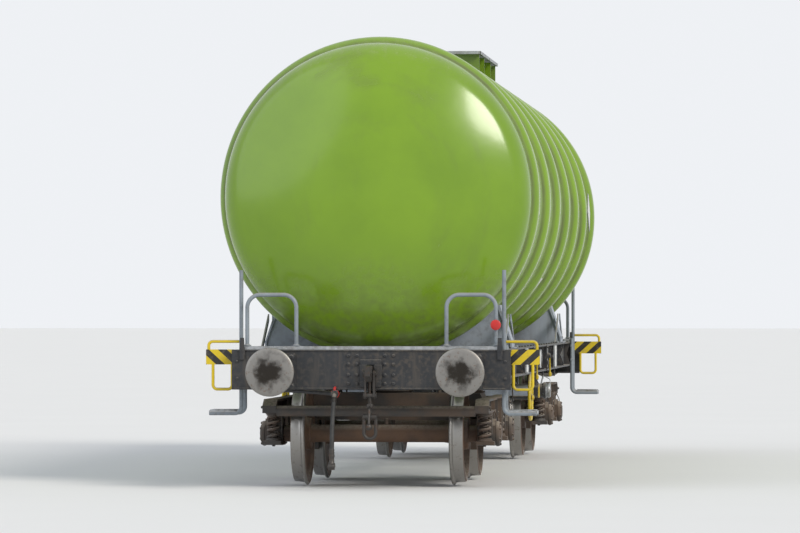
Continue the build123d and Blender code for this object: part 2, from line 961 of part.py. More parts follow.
def build_brake_gear():
    """Brake pipe with its end cocks, air reservoir and brake cylinder."""
    pipe_end = headstock_face + pipe_overhang
    with BuildPart() as pipe:
        tube(
            [
                (-pipe_end, pipe_end_y, pipe_end_z),
                (pipe_straight - headstock_face, pipe_end_y, pipe_end_z),
                (pipe_straight + pipe_slant - headstock_face, pipe_side_y, pipe_side_z),
                (headstock_face - pipe_straight - pipe_slant, pipe_side_y, pipe_side_z),
                (headstock_face - pipe_straight, pipe_end_y, pipe_end_z),
                (pipe_end, pipe_end_y, pipe_end_z),
            ],
            pipe_bend,
            pipe_radius,
        )
        for end in ENDS.values():
            with BuildSketch(Plane.YZ.offset(end * (pipe_end - cock_length))):
                with Locations((pipe_end_y, pipe_end_z)):
                    Circle(cock_radius)
            extrude(amount=end * cock_length)
            with BuildSketch(hose_plane(end, -cock_radius)):
                Circle(nozzle_radius)
            extrude(amount=nozzle_length + cock_radius)
        for number in range(clip_count):
            place = (number - (clip_count - 1) / 2) * cross_member_pitch
            with BuildSketch(level(place, pipe_side_y, pipe_side_z)):
                Rectangle(clip_length, clip_width)
            extrude(amount=sill_bottom - pipe_side_z)
        for end in ENDS.values():
            with BuildSketch(level(end * (headstock_face - headstock_depth / 3), pipe_end_y, pipe_end_z)):
                Rectangle(clip_length, clip_width)
            extrude(amount=headstock_bottom - pipe_end_z)
    finish(pipe, "brake_pipe")

    with BuildPart() as reservoir:
        with BuildSketch(Plane.YZ.offset(reservoir_start)):
            with Locations((reservoir_y, reservoir_z)):
                Circle(reservoir_radius)
        extrude(amount=reservoir_length)
        fillet(reservoir.edges().filter_by(GeomType.CIRCLE), reservoir_end_round)
        for strap_x in strap_places:
            with BuildSketch(Plane.YZ.offset(strap_x)):
                with Locations((reservoir_y, (reservoir_z + sill_bottom) / 2)):
                    Rectangle(1.7 * reservoir_radius, sill_bottom - reservoir_z)
            extrude(amount=strap_width / 2, both=True)
    finish(reservoir, "air_reservoir")

    with BuildPart() as hangers:
        for strap_x in strap_places:
            with BuildSketch(level(strap_x, 0, sill_bottom)):
                Rectangle(1.2 * strap_width, 2 * sill_inner_face)
            extrude(amount=hanger_height)
    finish(hangers, "reservoir_hangers")

    cover_x = cylinder_x + cylinder_length
    with BuildPart() as cylinder:
        for x, radius, length in (
            (cylinder_x - cylinder_cap, cylinder_radius + cylinder_rim, cylinder_cap),
            (cylinder_x, cylinder_radius, cylinder_length),
            (cover_x, cylinder_radius + cylinder_rim, cylinder_cover),
            (cover_x + cylinder_cover, push_rod_radius, push_rod_length),
        ):
            with BuildSketch(Plane.YZ.offset(x)):
                with Locations((0, cylinder_z)):
                    Circle(radius)
            extrude(amount=length)
        seat_x = cylinder_x - cylinder_cap + cross_member_width / 2
        with BuildSketch(level(seat_x, 0, cylinder_z)):
            Rectangle(cross_member_width, 0.8 * cylinder_radius)
        extrude(amount=sill_bottom - cylinder_z)
    finish(cylinder, "brake_cylinder")


def hose_plane(end, reach):
    """The plane of an end cock's nozzle, square to its slope, at a distance along it."""
    slope = radians(cock_slope)
    ahead = (end * cos(slope), 0, -sin(slope))
    x = end * (headstock_face + pipe_overhang - cock_length / 3) + reach * ahead[0]
    return Plane((x, pipe_end_y, pipe_end_z + reach * ahead[2]), x_dir=(0, 1, 0), z_dir=ahead)


def build_hoses():
    """Brake hoses that hang free from the end cocks, and their coupling heads."""
    for end_name, end in ENDS.items():
        start = hose_plane(end, nozzle_length).origin
        corner = hose_plane(end, nozzle_length + hose_run).origin
        foot = corner - Vector(0, 0, hose_run)
        bend = 0.45 * hose_run / tan(radians(90 - cock_slope) / 2)
        print(f"brake_hose_{end_name}: bend radius {bend:.0f}")
        with BuildPart() as hose:
            tube([start, corner, foot], bend, hose_radius)
        finish(hose, f"brake_hose_{end_name}")
        with BuildPart() as head:
            with BuildSketch(level(foot.X, foot.Y, foot.Z)):
                Circle(nozzle_radius)
            extrude(amount=-hose_head_length)
            with BuildSketch(upright(foot.X, foot.Y)):
                with Locations((end * hose_head_radius / 2, foot.Z - hose_head_length)):
                    Circle(hose_claw / 2)
            extrude(amount=hose_head_radius, both=True)
        finish(head, f"hose_head_{end_name}")


def build_hand_brake():
    """Hand brake wheels at both sides on one shaft each, hung from a bar between the sills."""
    x = -cross_member_pitch - handwheel_setback
    with BuildPart() as hand_brake:
        with BuildSketch(level(x, 0, sill_bottom)):
            Rectangle(handwheel_bar, 2 * sill_inner_face)
        extrude(amount=handwheel_bar_height)
        for side in SIDES.values():
            for y in handwheel_plates:
                with BuildSketch(upright(x, side * y)):
                    with BuildLine():
                        Polyline(
                            (-handwheel_bar / 2, sill_bottom),
                            (-handwheel_hub, handwheel_z - handwheel_hub),
                            (handwheel_hub, handwheel_z - handwheel_hub),
                            (handwheel_bar / 2, sill_bottom),
                            close=True,
                        )
                    make_face()
                extrude(amount=bracket_thickness / 2, both=True)
            with BuildSketch(upright(x, side * handwheel_y)):
                with Locations((0, handwheel_z)):
                    Circle(handwheel_hub)
            extrude(amount=handwheel_rim, both=True)
            with BuildSketch(upright(x, side * handwheel_y)):
                with Locations((0, handwheel_z)):
                    Circle(handwheel_shaft)
            extrude(amount=side * (handwheel_y - handwheel_plates[1] + bracket_thickness))
            with BuildSketch(Plane((x, side * handwheel_y, handwheel_z), x_dir=(1, 0, 0), z_dir=(0, 0, 1))):
                with Locations((handwheel_radius, 0)):
                    Circle(handwheel_rim)
            revolve(axis=Axis((x, side * handwheel_y, handwheel_z), (0, 1, 0)))
            for turn in range(4):
                angle = radians(45 + 90 * turn)
                spoke = Plane((x, side * handwheel_y, handwheel_z), z_dir=(cos(angle), 0, sin(angle)))
                with BuildSketch(spoke):
                    Circle(handwheel_spoke)
                extrude(amount=handwheel_radius)
    finish(hand_brake, "hand_brake_wheels")


def build_discharge():
    """Bottom outlet with its cross pipe, side valves and blind caps."""
    with BuildPart() as outlet:
        with BuildSketch(level(outlet_x, 0, outlet_z)):
            Circle(outlet_radius)
        extrude(amount=tank_bottom - outlet_z + outlet_pad)
        with BuildSketch(level(outlet_x, 0, tank_bottom - outlet_pad_drop)):
            Circle(outlet_radius + outlet_pad)
        extrude(amount=outlet_pad_thickness)
        with BuildSketch(upright(outlet_x, 0)):
            with Locations((0, outlet_z)):
                Circle(outlet_pipe_radius)
        extrude(amount=outlet_half_width, both=True)
        with BuildSketch(Plane.YZ.offset(outlet_x)):
            with Locations((0, tank_axis_z)):
                Circle(shell_radius)
        extrude(amount=2 * outlet_radius, both=True, mode=Mode.SUBTRACT)
    finish(outlet, "outlet_pipe")

    body_start = outlet_half_width + outlet_flange
    valve_end = body_start + outlet_valve_length + outlet_flange
    with BuildPart() as valves:
        for side in SIDES.values():
            for y, radius, length in (
                (outlet_half_width, outlet_pipe_radius + outlet_flange_rim, outlet_flange),
                (body_start, outlet_pipe_radius + outlet_flange_rim / 2, outlet_valve_length),
                (valve_end - outlet_flange, outlet_pipe_radius + outlet_flange_rim, outlet_flange),
            ):
                with BuildSketch(upright(outlet_x, side * y)):
                    with Locations((0, outlet_z)):
                        Circle(radius)
                extrude(amount=-side * length)
            with BuildSketch(Plane.YZ.offset(outlet_x)):
                with Locations((side * (body_start + outlet_valve_length / 2), outlet_z)):
                    Circle(outlet_stem_radius)
            extrude(amount=outlet_stem_length)
    finish(valves, "outlet_valves")

    with BuildPart() as caps:
        for side in SIDES.values():
            with BuildSketch(upright(outlet_x, side * valve_end)):
                with Locations((0, outlet_z)):
                    Circle(outlet_pipe_radius + outlet_flange_rim / 2)
            extrude(amount=-side * outlet_cap_length)
    finish(caps, "outlet_caps")


def build_wheelsets():
    """Each axle with its two wheels, turned as one piece."""
    rim_radius = tread_radius - rim_depth
    wheel_outer_face = wheel_inner_face + wheel_width
    web_inner = wheel_inner_face + web_setback
    hub_inner = wheel_inner_face - hub_overhang
    hub_outer = wheel_outer_face + hub_overhang
    half_profile = (
        (0, axle_radius),
        (hub_inner, axle_radius),
        (hub_inner, hub_radius),
        (web_inner + web_dish, hub_radius),
        (web_inner, rim_radius),
        (wheel_inner_face, rim_radius),
        (wheel_inner_face, tread_radius + flange_depth - flange_back),
        (wheel_inner_face + flange_back, tread_radius + flange_depth),
        (wheel_inner_face + flange_thickness - flange_tip, tread_radius + flange_depth),
        (wheel_inner_face + flange_thickness + flange_root, tread_radius),
        (wheel_outer_face, tread_radius),
        (wheel_outer_face, rim_radius),
        (web_inner + web_thickness, rim_radius),
        (web_inner + web_dish + web_thickness, hub_radius),
        (hub_outer, hub_radius),
        (hub_outer, seal_radius),
        (journal_start - seal_lead, seal_radius),
        (journal_start - seal_lead, journal_radius),
        (journal_end, journal_radius),
    )
    for name, x in wheelset_places.items():
        with BuildPart() as wheelset:
            with BuildSketch(Plane.YZ.offset(x)):
                with BuildLine():
                    outline = [(y, axle_z + r) for y, r in half_profile]
                    mirrored = [(-y, z) for y, z in reversed(outline[1:])]
                    Polyline((-journal_end, axle_z), *mirrored, *outline, (journal_end, axle_z), close=True)
                make_face()
            revolve(axis=Axis((x, 0, axle_z), (0, 1, 0)))
        finish(wheelset, name)


def build_bogie(end_name, end):
    """One bogie: side frames, transom, head beams, axleboxes, springs, brake beams and bearers."""
    middle = end * bogie_pivot
    axles = [middle - half_wheelbase, middle + half_wheelbase]

    for side_name, side in SIDES.items():
        with BuildPart() as side_frame:
            with BuildSketch(Plane.XZ.offset(-side * side_frame_y)):
                with BuildLine():
                    half = (
                        (side_frame_half_length, side_frame_underside),
                        (half_wheelbase + guide_outer, side_frame_underside),
                        (half_wheelbase + guide_outer, guide_foot),
                        (half_wheelbase + guide_inner, guide_foot),
                        (half_wheelbase + guide_inner, side_frame_underside),
                        (half_wheelbase - guide_inner, side_frame_underside),
                        (half_wheelbase - guide_inner, guide_foot),
                        (half_wheelbase - guide_outer, guide_foot),
                        (half_wheelbase - guide_outer, side_frame_underside),
                        (belly_half_length + belly_slope, side_frame_underside),
                        (belly_half_length, side_frame_belly),
                    )
                    low = [(middle + x, z) for x, z in half]
                    low += [(middle - x, z) for x, z in reversed(half)]
                    top = [
                        (middle - side_frame_half_length, side_frame_top - frame_tip_drop),
                        (middle - side_frame_half_length + frame_tip_length, side_frame_top),
                        (middle + side_frame_half_length - frame_tip_length, side_frame_top),
                        (middle + side_frame_half_length, side_frame_top - frame_tip_drop),
                    ]
                    Polyline(*low, *top, close=True)
                make_face()
            extrude(amount=side_frame_width / 2, both=True)
            arm_low = side_frame_underside + frame_flange
            arm_high = side_frame_top - frame_flange
            arm_start = belly_half_length + belly_slope + frame_flange
            arm_end = side_frame_half_length - 2 * head_beam_radius - frame_flange
            belly_low = side_frame_belly + frame_flange
            with BuildSketch(upright(middle, side * (side_frame_y + side_frame_width / 2))):
                with BuildLine():
                    right = (
                        (belly_half_length - frame_flange, belly_low),
                        (belly_half_length + belly_slope - frame_flange, arm_low),
                        (arm_end, arm_low),
                        (arm_end, arm_high),
                    )
                    Polyline(*right, *[(-x, z) for x, z in reversed(right)], close=True)
                make_face()
                for rib_x in frame_rib_places:
                    with Locations((rib_x, arm_low), (-rib_x, arm_low)):
                        Rectangle(frame_rib, 2 * (arm_low - belly_low), mode=Mode.SUBTRACT)
            extrude(amount=side * frame_recess, mode=Mode.SUBTRACT)
            with BuildSketch(upright(middle, side * (side_frame_y - side_frame_width / 2))):
                with Locations(((arm_start + arm_end) / 2, (arm_low + arm_high) / 2)):
                    Rectangle(arm_end - arm_start, arm_high - arm_low)
                with Locations((-(arm_start + arm_end) / 2, (arm_low + arm_high) / 2)):
                    Rectangle(arm_end - arm_start, arm_high - arm_low)
            extrude(amount=-side * frame_recess, mode=Mode.SUBTRACT)
        finish(side_frame, f"bogie_side_{end_name}_{side_name}")

    inner_y = side_frame_y - side_frame_width / 2
    with BuildPart() as transom:
        with BuildSketch(Plane.YZ.offset(middle)):
            with BuildLine():
                Polyline(
                    (-inner_y, side_frame_top - transom_drop),
                    (-inner_y, side_frame_underside),
                    (-inner_y + transom_rise, transom_bottom),
                    (inner_y - transom_rise, transom_bottom),
                    (inner_y, side_frame_underside),
                    (inner_y, side_frame_top - transom_drop),
                    (inner_y - transom_shoulder, transom_top),
                    (-inner_y + transom_shoulder, transom_top),
                    close=True,
                )
            make_face()
        extrude(amount=transom_half_length, both=True)
        with BuildSketch(Plane.XY.offset(transom_top)):
            with Locations((middle, 0)):
                Circle(bowl_radius)
        extrude(amount=bowl_rim - transom_top)
        with BuildSketch(Plane.XY.offset(bowl_floor)):
            with Locations((middle, 0)):
                Circle(bowl_bore)
        extrude(amount=bowl_rim - bowl_floor, mode=Mode.SUBTRACT)
    finish(transom, f"bogie_transom_{end_name}")

    with BuildPart() as head_beams:
        for shift in (-1, 1):
            beam_x = middle + shift * (side_frame_half_length - head_beam_radius)
            with BuildSketch(Plane.XZ):
                with Locations((beam_x, side_frame_top - frame_tip_drop - head_beam_radius)):
                    Circle(head_beam_radius)
            extrude(amount=inner_y, both=True)
    finish(head_beams, f"bogie_head_beams_{end_name}")

    with BuildPart() as axleboxes:
        for x in axles:
            for side in SIDES.values():
                with BuildSketch(Plane.XZ.offset(-side * journal_start)):
                    with BuildLine():
                        half = (
                            (axlebox_half_width, axlebox_top - axlebox_shoulder),
                            (axlebox_half_width, spring_seat_z + axlebox_wall),
                            (guide_outer, spring_seat_z + axlebox_wall),
                            (guide_outer, spring_seat_z),
                            (spring_offset + spring_radius, spring_seat_z),
                            (spring_offset + spring_radius, spring_seat_z - spring_seat_thickness),
                            (axlebox_half_width, axlebox_bottom),
                        )
                        right = [(x + px, pz) for px, pz in half]
                        left = [(x - px, pz) for px, pz in reversed(half)]
                        crown = [(x - axlebox_crown, axlebox_top), (x + axlebox_crown, axlebox_top)]
                        Polyline(*right, *left, *crown, close=True)
                    make_face()
                extrude(amount=-side * (journal_end + axlebox_wall - journal_start))
                with BuildSketch(Plane.XZ.offset(-side * (journal_end + axlebox_wall))):
                    with Locations((x, axle_z)):
                        Circle(axlebox_half_width - axlebox_cover_inset)
                extrude(amount=-side * (axlebox_cover_end - journal_end - axlebox_wall))
                with BuildSketch(Plane.XZ.offset(-side * journal_start)):
                    with Locations((x, axle_z)):
                        Circle(journal_radius + running_gap)
                extrude(amount=-side * (journal_end + axlebox_wall / 2 - journal_start), mode=Mode.SUBTRACT)
    finish(axleboxes, f"axleboxes_{end_name}")

    with BuildPart() as springs:
        for x in axles:
            for side in SIDES.values():
                for shift in (-1, 1):
                    with BuildSketch(Plane.XY.offset(spring_seat_z)):
                        with Locations((x + shift * spring_offset, side * side_frame_y)):
                            Circle(spring_radius - spring_inset)
                    extrude(amount=side_frame_underside - spring_seat_z)
    finish(springs, f"springs_{end_name}")

    with BuildPart() as brake_beams:
        reach = tread_radius + block_gap
        for shift, x in zip((-1, 1), axles):
            beam_x = x - shift * (reach + block_thickness + beam_gap)
            with BuildSketch(Plane.XZ):
                with Locations((beam_x, brake_beam_z)):
                    Rectangle(brake_beam_side, brake_beam_side)
            extrude(amount=block_y + beam_overhang, both=True)
            for side in SIDES.values():
                with BuildSketch(Plane.XZ.offset(-side * block_y)):
                    with Locations((x, axle_z)):
                        Circle(reach + block_thickness)
                        Circle(reach, mode=Mode.SUBTRACT)
                    with Locations((x - shift * (reach + block_setback), axle_z - block_drop)):
                        Rectangle(block_length, block_height, mode=Mode.INTERSECT)
                extrude(amount=block_half_width, both=True)
                with BuildSketch(Plane.XZ.offset(-side * hanger_y)):
                    with BuildLine():
                        hanger_x = middle + shift * (transom_half_length + hanger_setback)
                        Polyline(
                            (beam_x - hanger_half, brake_beam_z),
                            (beam_x + hanger_half, brake_beam_z),
                            (hanger_x + hanger_half, side_frame_underside),
                            (hanger_x + hanger_half, side_frame_top - frame_tip_drop),
                            (hanger_x - hanger_half, side_frame_top - frame_tip_drop),
                            (hanger_x - hanger_half, side_frame_underside),
                            close=True,
                        )
                    make_face()
                extrude(amount=hanger_width / 2, both=True)
                with BuildSketch(Plane.XZ.offset(-side * hanger_y)):
                    pad_x = middle + shift * (transom_half_length + hanger_pad_length / 2)
                    with Locations((pad_x, side_frame_top - hanger_pad_drop)):
                        Rectangle(hanger_pad_length, hanger_pad_height)
                extrude(amount=hanger_width / 2, both=True)
    finish(brake_beams, f"brake_beams_{end_name}")

    with BuildPart() as bearers:
        for side in SIDES.values():
            with BuildSketch(Plane.XY.offset(transom_top)):
                with Locations((middle, side * bearer_y)):
                    Rectangle(bearer_length, bearer_width)
            extrude(amount=bolster_bottom - bearer_gap - transom_top)
    finish(bearers, f"side_bearers_{end_name}")


build_tank_shell()
build_manhole()
build_top_fittings()
build_walkways()
build_ladder()
build_frame()
build_saddles()
build_ends()
build_buffers()
build_draw_gear()
build_brake_gear()
build_hoses()
build_hand_brake()
build_discharge()
build_wheelsets()
for end_name, end in ENDS.items():
    build_bogie(end_name, end)
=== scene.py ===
"""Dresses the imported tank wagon, in metres: +X to its front end, +Y to its left side and +Z up."""

from itertools import product
from math import asin, atan2, ceil, cos, hypot, pi, radians, sin, sqrt, tan

import bmesh
import bpy
from mathutils import Matrix, Vector


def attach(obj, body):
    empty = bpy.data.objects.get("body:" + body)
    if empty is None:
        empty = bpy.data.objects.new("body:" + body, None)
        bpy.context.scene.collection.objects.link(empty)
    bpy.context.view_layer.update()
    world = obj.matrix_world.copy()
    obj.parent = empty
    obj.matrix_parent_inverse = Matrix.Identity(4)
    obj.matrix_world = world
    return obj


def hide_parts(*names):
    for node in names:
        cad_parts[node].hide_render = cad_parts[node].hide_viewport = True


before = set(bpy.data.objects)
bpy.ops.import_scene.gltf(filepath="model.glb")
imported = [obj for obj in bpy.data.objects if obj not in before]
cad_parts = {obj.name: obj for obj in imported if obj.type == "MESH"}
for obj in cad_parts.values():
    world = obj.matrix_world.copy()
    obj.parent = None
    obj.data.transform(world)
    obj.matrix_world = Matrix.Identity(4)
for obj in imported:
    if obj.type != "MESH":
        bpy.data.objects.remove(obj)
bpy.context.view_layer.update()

ENDS = {"rear": -1, "front": 1}
SIDES = (-1, 1)
CORNERS = list(product(ENDS.values(), SIDES))
X = Vector((1, 0, 0))
Y = Vector((0, 1, 0))
Z = Vector((0, 0, 1))

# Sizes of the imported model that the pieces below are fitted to
axle_z = 0.488
bogie_pivot = 4.18
half_wheelbase = 0.9
spring_y = 1.0
spring_reach = 0.205
shell_radius = 1.45
tank_axis_z = 2.728
crown_z = tank_axis_z + shell_radius
shell_half_length = 5.39
crown_radius = 2.9
knuckle_radius = 0.29
ring_pitch = 1.733
ring_height = 0.068
ring_foot = 0.24
half_length = 6.7
headstock_face = 6.08
sill_top = 1.29
sill_face = 1.21
buffer_z = 1.088
buffer_y = 0.875
hook_z = 1.068
manhole_x = -ring_pitch / 2
walk_reach = 1.25
grating_top = 4.276
rim_z = 4.263
step_x = 5.785
rail_x = 6.035
rail_y = 1.16


def at(x, y, z):
    return Vector((x, y, z))


def path_from(start, *steps):
    """Points given by how far they lie from a start."""
    return [start + Vector(step) for step in steps]


def line(start, step, count):
    """Points at equal steps from a start."""
    return [start + step * number for number in range(count)]


def corners(middle, first, second):
    """The corners of a rectangle in turn, from its middle and its two half widths."""
    return [middle + first * a + second * b for a, b in ((-1, -1), (-1, 1), (1, 1), (1, -1))]


def spokes(count, first, second, start=0.0):
    """Directions all round, from the first vector towards the second, begun at a share of a step."""
    turns = [2 * pi * (number + start) / count for number in range(count)]
    return [first * cos(turn) + second * sin(turn) for turn in turns]


def arc(middle, first, second, start, end, steps):
    """Points about a middle from one angle to another, in degrees; the two vectors give the reach."""
    turns = [radians(start + (end - start) * step / steps) for step in range(steps + 1)]
    return [middle + first * cos(turn) + second * sin(turn) for turn in turns]


class Shape:
    """Gathers the points and faces of one piece."""

    def __init__(self):
        self.points = []
        self.faces = []

    def skin(self, rows, closed=True, caps=True):
        """Joins rows of points, each row a loop of the same length."""
        start = len(self.points)
        count = len(rows[0])
        for row in rows:
            self.points.extend(row)
        for low in range(start, start + (len(rows) - 1) * count, count):
            high = low + count
            for step in range(count if closed else count - 1):
                after = (step + 1) % count
                self.faces.append((low + step, low + after, high + after, high + step))
        if caps:
            last = len(self.points) - count
            self.faces.append(tuple(reversed(range(start, start + count))))
            self.faces.append(tuple(range(last, last + count)))

    def box(self, middle, size, turn=None, chamfer=0.004):
        """A block with its edges taken off, turned about its middle when a matrix is given."""
        half = Vector(size) / 2
        cut = min(chamfer, 0.45 * min(half))
        turned = turn or Matrix.Identity(3)
        rows = []
        for height, inset in ((-half.z, cut), (cut - half.z, 0), (half.z - cut, 0), (half.z, cut)):
            row = []
            for across, along in ((1, 1), (-1, 1), (-1, -1), (1, -1)):
                beside = at(across * (half.x - inset), along * (half.y - cut), height)
                ahead = at(across * (half.x - cut), along * (half.y - inset), height)
                row += [beside, ahead] if across == along else [ahead, beside]
            rows.append([Vector(middle) + turned @ point for point in row])
        self.skin(rows)

    def plate(self, outline, depth):
        """A flat outline of points pushed along a vector."""
        shift = Vector(depth) / 2
        self.skin([[Vector(point) + shift * side for point in outline] for side in SIDES])

    def lathe(self, profile, origin, axis, segments=32, closed=False, caps=True):
        """Turns pairs of distance and radius about an axis; a closed profile comes back to its start."""
        along = Vector(axis).normalized()
        side = along.orthogonal().normalized()
        around = spokes(segments, side, along.cross(side))
        rows = []
        for distance, radius in profile:
            middle = Vector(origin) + along * distance
            rows.append([middle + spoke * max(radius, 1e-5) for spoke in around])
        if closed:
            rows.append(rows[0])
        self.skin(rows, caps=caps and not closed)

    def rod(self, start, end, radius, segments=14):
        """A round bar between two points with its ends broken."""
        run = Vector(end) - Vector(start)
        length = run.length
        cut = min(0.002, radius / 3, length / 3)
        profile = [(0, radius - cut), (cut, radius), (length - cut, radius), (length, radius - cut)]
        self.lathe(profile, start, run, segments)

    def tube(self, points, radius, bend=0.0, segments=10):
        """A round bar through points, with its corners rounded."""
        path = rounded(points, bend)
        self.sweep(path, [radius] * len(path), segments)

    def sweep(self, path, radii, segments=10):
        """A round section carried along a path without twist."""
        before = path[:1] + path[:-1]
        after = path[1:] + path[-1:]
        travel = [(end - start).normalized() for start, end in zip(before, after)]
        side = travel[0].orthogonal().normalized()
        rows = []
        for place, ahead, radius in zip(path, travel, radii):
            side = (side - ahead * side.dot(ahead)).normalized()
            rows.append([place + spoke * radius for spoke in spokes(segments, side, ahead.cross(side))])
        self.skin(rows)

    def bolt(self, place, axis, size=0.012, washer=True):
        """A hexagon head of the given half width, with its washer."""
        if washer:
            rim = size * 1.55
            self.lathe([(0, rim), (size * 0.25, rim), (size * 0.3, rim * 0.95)], place, axis, 12)
        head = [(0, size * 1.12), (size * 1.3, size * 1.12), (size * 1.5, size * 0.9)]
        self.lathe(head, place, axis, 6)

    def bolts(self, places, axis, size, washer=True):
        for place in places:
            self.bolt(place, axis, size, washer)

    def spring(self, low, high, radius, wire, turns, segments=8):
        """A coil spring between two points on its axis, with closed ends."""
        axis = high - low
        along = axis.normalized()
        side = along.orthogonal().normalized()
        other = along.cross(side)
        steps = int(turns * 18)
        dead = 0.75 / turns
        path = []
        for step in range(steps + 1):
            share = step / steps
            angle = 2 * pi * turns * share
            rise = min(max((share - dead) / (1 - 2 * dead), 0), 1)
            height = wire + (axis.length - 2 * wire) * rise
            path.append(low + along * height + (side * cos(angle) + other * sin(angle)) * (radius - wire))
        self.sweep(path, [wire] * len(path), segments)


def rounded(points, bend):
    """The points of a route with each corner turned into a short arc."""
    route = [Vector(point) for point in points]
    if bend <= 0 or len(route) < 3:
        return route
    path = [route[0]]
    for before, corner, after in zip(route, route[1:], route[2:]):
        back = before - corner
        ahead = after - corner
        half = (pi - back.angle(ahead)) / 2
        if half < 0.01:
            path.append(corner)
            continue
        reach = min(bend * tan(half), 0.48 * back.length, 0.48 * ahead.length)
        radius = reach / tan(half)
        start = corner + back.normalized() * reach
        finish = corner + ahead.normalized() * reach
        inward = (back.normalized() + ahead.normalized()).normalized()
        middle = corner + inward * hypot(radius, reach)
        steps = max(3, ceil(half / 0.2))
        for step in range(steps + 1):
            spoke = (start - middle).lerp(finish - middle, step / steps)
            path.append(middle + spoke.normalized() * radius)
    path.append(route[-1])
    return path


def show(name, data):
    """An object of the scene made from a mesh, curve, lamp or camera."""
    made = bpy.data.objects.new(name, data)
    bpy.context.scene.collection.objects.link(made)
    return made


def put(name, shape, material, body="root", smooth=38, replaces=None):
    """Makes the piece from its shape, and lets it ride on its body."""
    mesh = bpy.data.meshes.new(name)
    mesh.from_pydata(shape.points, [], shape.faces)
    mesh.validate()
    work = bmesh.new()
    work.from_mesh(mesh)
    bmesh.ops.recalc_face_normals(work, faces=work.faces)
    work.to_mesh(mesh)
    work.free()
    mesh.shade_smooth()
    mesh.set_sharp_from_angle(angle=radians(smooth))
    mesh.materials.append(material)
    piece = show(name, mesh)
    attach(piece, body)
    if replaces:
        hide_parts(replaces)
    return piece


def add_node(tree, kind, inputs, output, **settings):
    """A new node with its inputs linked or set; gives one of its outputs."""
    made = tree.nodes.new(kind)
    for key, value in settings.items():
        setattr(made, key, value)
    for name, value in inputs.items():
        feed(tree, made.inputs[name], value)
    return made.outputs[output]


def feed(tree, socket, value):
    """Links a socket to a tone or to a node's output, or sets it."""
    source = value.socket if isinstance(value, Tone) else value
    if isinstance(source, bpy.types.NodeSocket):
        tree.links.new(source, socket)
    else:
        socket.default_value = (*source, 1) if socket.type == "RGBA" else source


class Tone:
    """A value or colour in a finish's nodes; + - * add, subtract and multiply, and | takes the greater."""

    def __init__(self, finish, socket):
        self.finish = finish
        self.socket = socket

    def maths(self, operation, other=0.0):
        return self.finish.node("ShaderNodeMath", {0: self, 1: other}, "Value", operation=operation)

    def __add__(self, other):
        return self.maths("ADD", other)

    def __sub__(self, other):
        return self.maths("SUBTRACT", other)

    def __mul__(self, other):
        return self.maths("MULTIPLY", other)

    def __or__(self, other):
        return self.maths("MAXIMUM", other)

    def __abs__(self):
        return self.maths("ABSOLUTE")

    def to(self, low, high, start=0.0, end=1.0):
        """Carries the value from one range to another and holds it there."""
        inputs = {"Value": self, "From Min": low, "From Max": high, "To Min": start, "To Max": end}
        return self.finish.node("ShaderNodeMapRange", inputs, "Result", interpolation_type="SMOOTHSTEP")


class Finish:
    """A material made of nodes."""

    def __init__(self, name, roughness, metallic=0.0, coat=0.0):
        self.material = bpy.data.materials.new(name)
        self.material.use_nodes = True
        self.give("Roughness", roughness)
        self.give("Metallic", metallic)
        self.give("Coat Weight", coat)
        self.place = self.node("ShaderNodeTexCoord", {}, "Object")

    def node(self, kind, inputs, output, **settings):
        return Tone(self, add_node(self.material.node_tree, kind, inputs, output, **settings))

    def give(self, socket, value):
        """Links or sets a socket of the shader."""
        tree = self.material.node_tree
        feed(tree, tree.nodes["Principled BSDF"].inputs[socket], value)

    def noise(self, scale, detail, stretch=(1, 1, 1), rough=0.55):
        place = self.node("ShaderNodeMapping", {"Scale": stretch, "Vector": self.place}, "Vector")
        inputs = {"Scale": scale, "Detail": detail, "Roughness": rough, "Vector": place}
        return self.node("ShaderNodeTexNoise", inputs, "Fac")

    def axis(self, name):
        return self.node("ShaderNodeSeparateXYZ", {"Vector": self.place}, name)

    def upward(self):
        """1 where the surface faces up, 0 where it is upright or faces down."""
        normal = self.node("ShaderNodeNewGeometry", {}, "Normal")
        return self.node("ShaderNodeSeparateXYZ", {"Vector": normal}, "Z").to(0.25, 0.95)

    def layers(self, colour, *covers):
        """A colour under others, each with the share of it that it covers."""
        for share, cover in covers:
            inputs = {"Factor": share, 6: colour, 7: cover}
            colour = self.node("ShaderNodeMix", inputs, 2, data_type="RGBA")
        return colour

    def done(self, colour, grain, strength, depth):
        """The finished material, with its colour and the fine relief of its surface."""
        self.give("Base Color", colour)
        bump = {"Strength": strength, "Distance": depth, "Height": grain}
        self.give("Normal", self.node("ShaderNodeBump", bump, "Normal"))
        return self.material


def painted(name, colour, dirt, roughness, dirt_share):
    """Painted steel with uneven tone, dust on its upper faces, dirt in patches and small chips."""
    dust = (0.3, 0.27, 0.23)
    bare_rust = (0.11, 0.055, 0.03)
    dark = tuple(channel * 0.72 for channel in colour)
    finish = Finish(name, roughness)
    wide = finish.noise(1.7, 5)
    fine = finish.noise(23.0, 6)
    patches = fine.to(0.42, 0.72) * wide.to(0.3, 0.62)
    streaks = finish.noise(9.0, 4, (1, 1, 0.12)).to(0.5, 0.78)
    dirty = (patches | streaks) * dirt_share
    dusty = finish.upward() * fine.to(0.25, 0.6, 0.35, 0.85)
    chipped = finish.noise(41.0, 8, rough=0.7).to(0.695, 0.73) * 0.7
    finish.give("Roughness", (dirty | dusty).to(0, 1.0, roughness, 0.86))
    base = finish.layers(colour, (wide.to(0.35, 0.7), dark))
    tone = finish.layers(base, (dirty, dirt), (dusty, dust), (chipped, bare_rust))
    return finish.done(tone, finish.noise(60.0, 5), 0.25, 0.002)


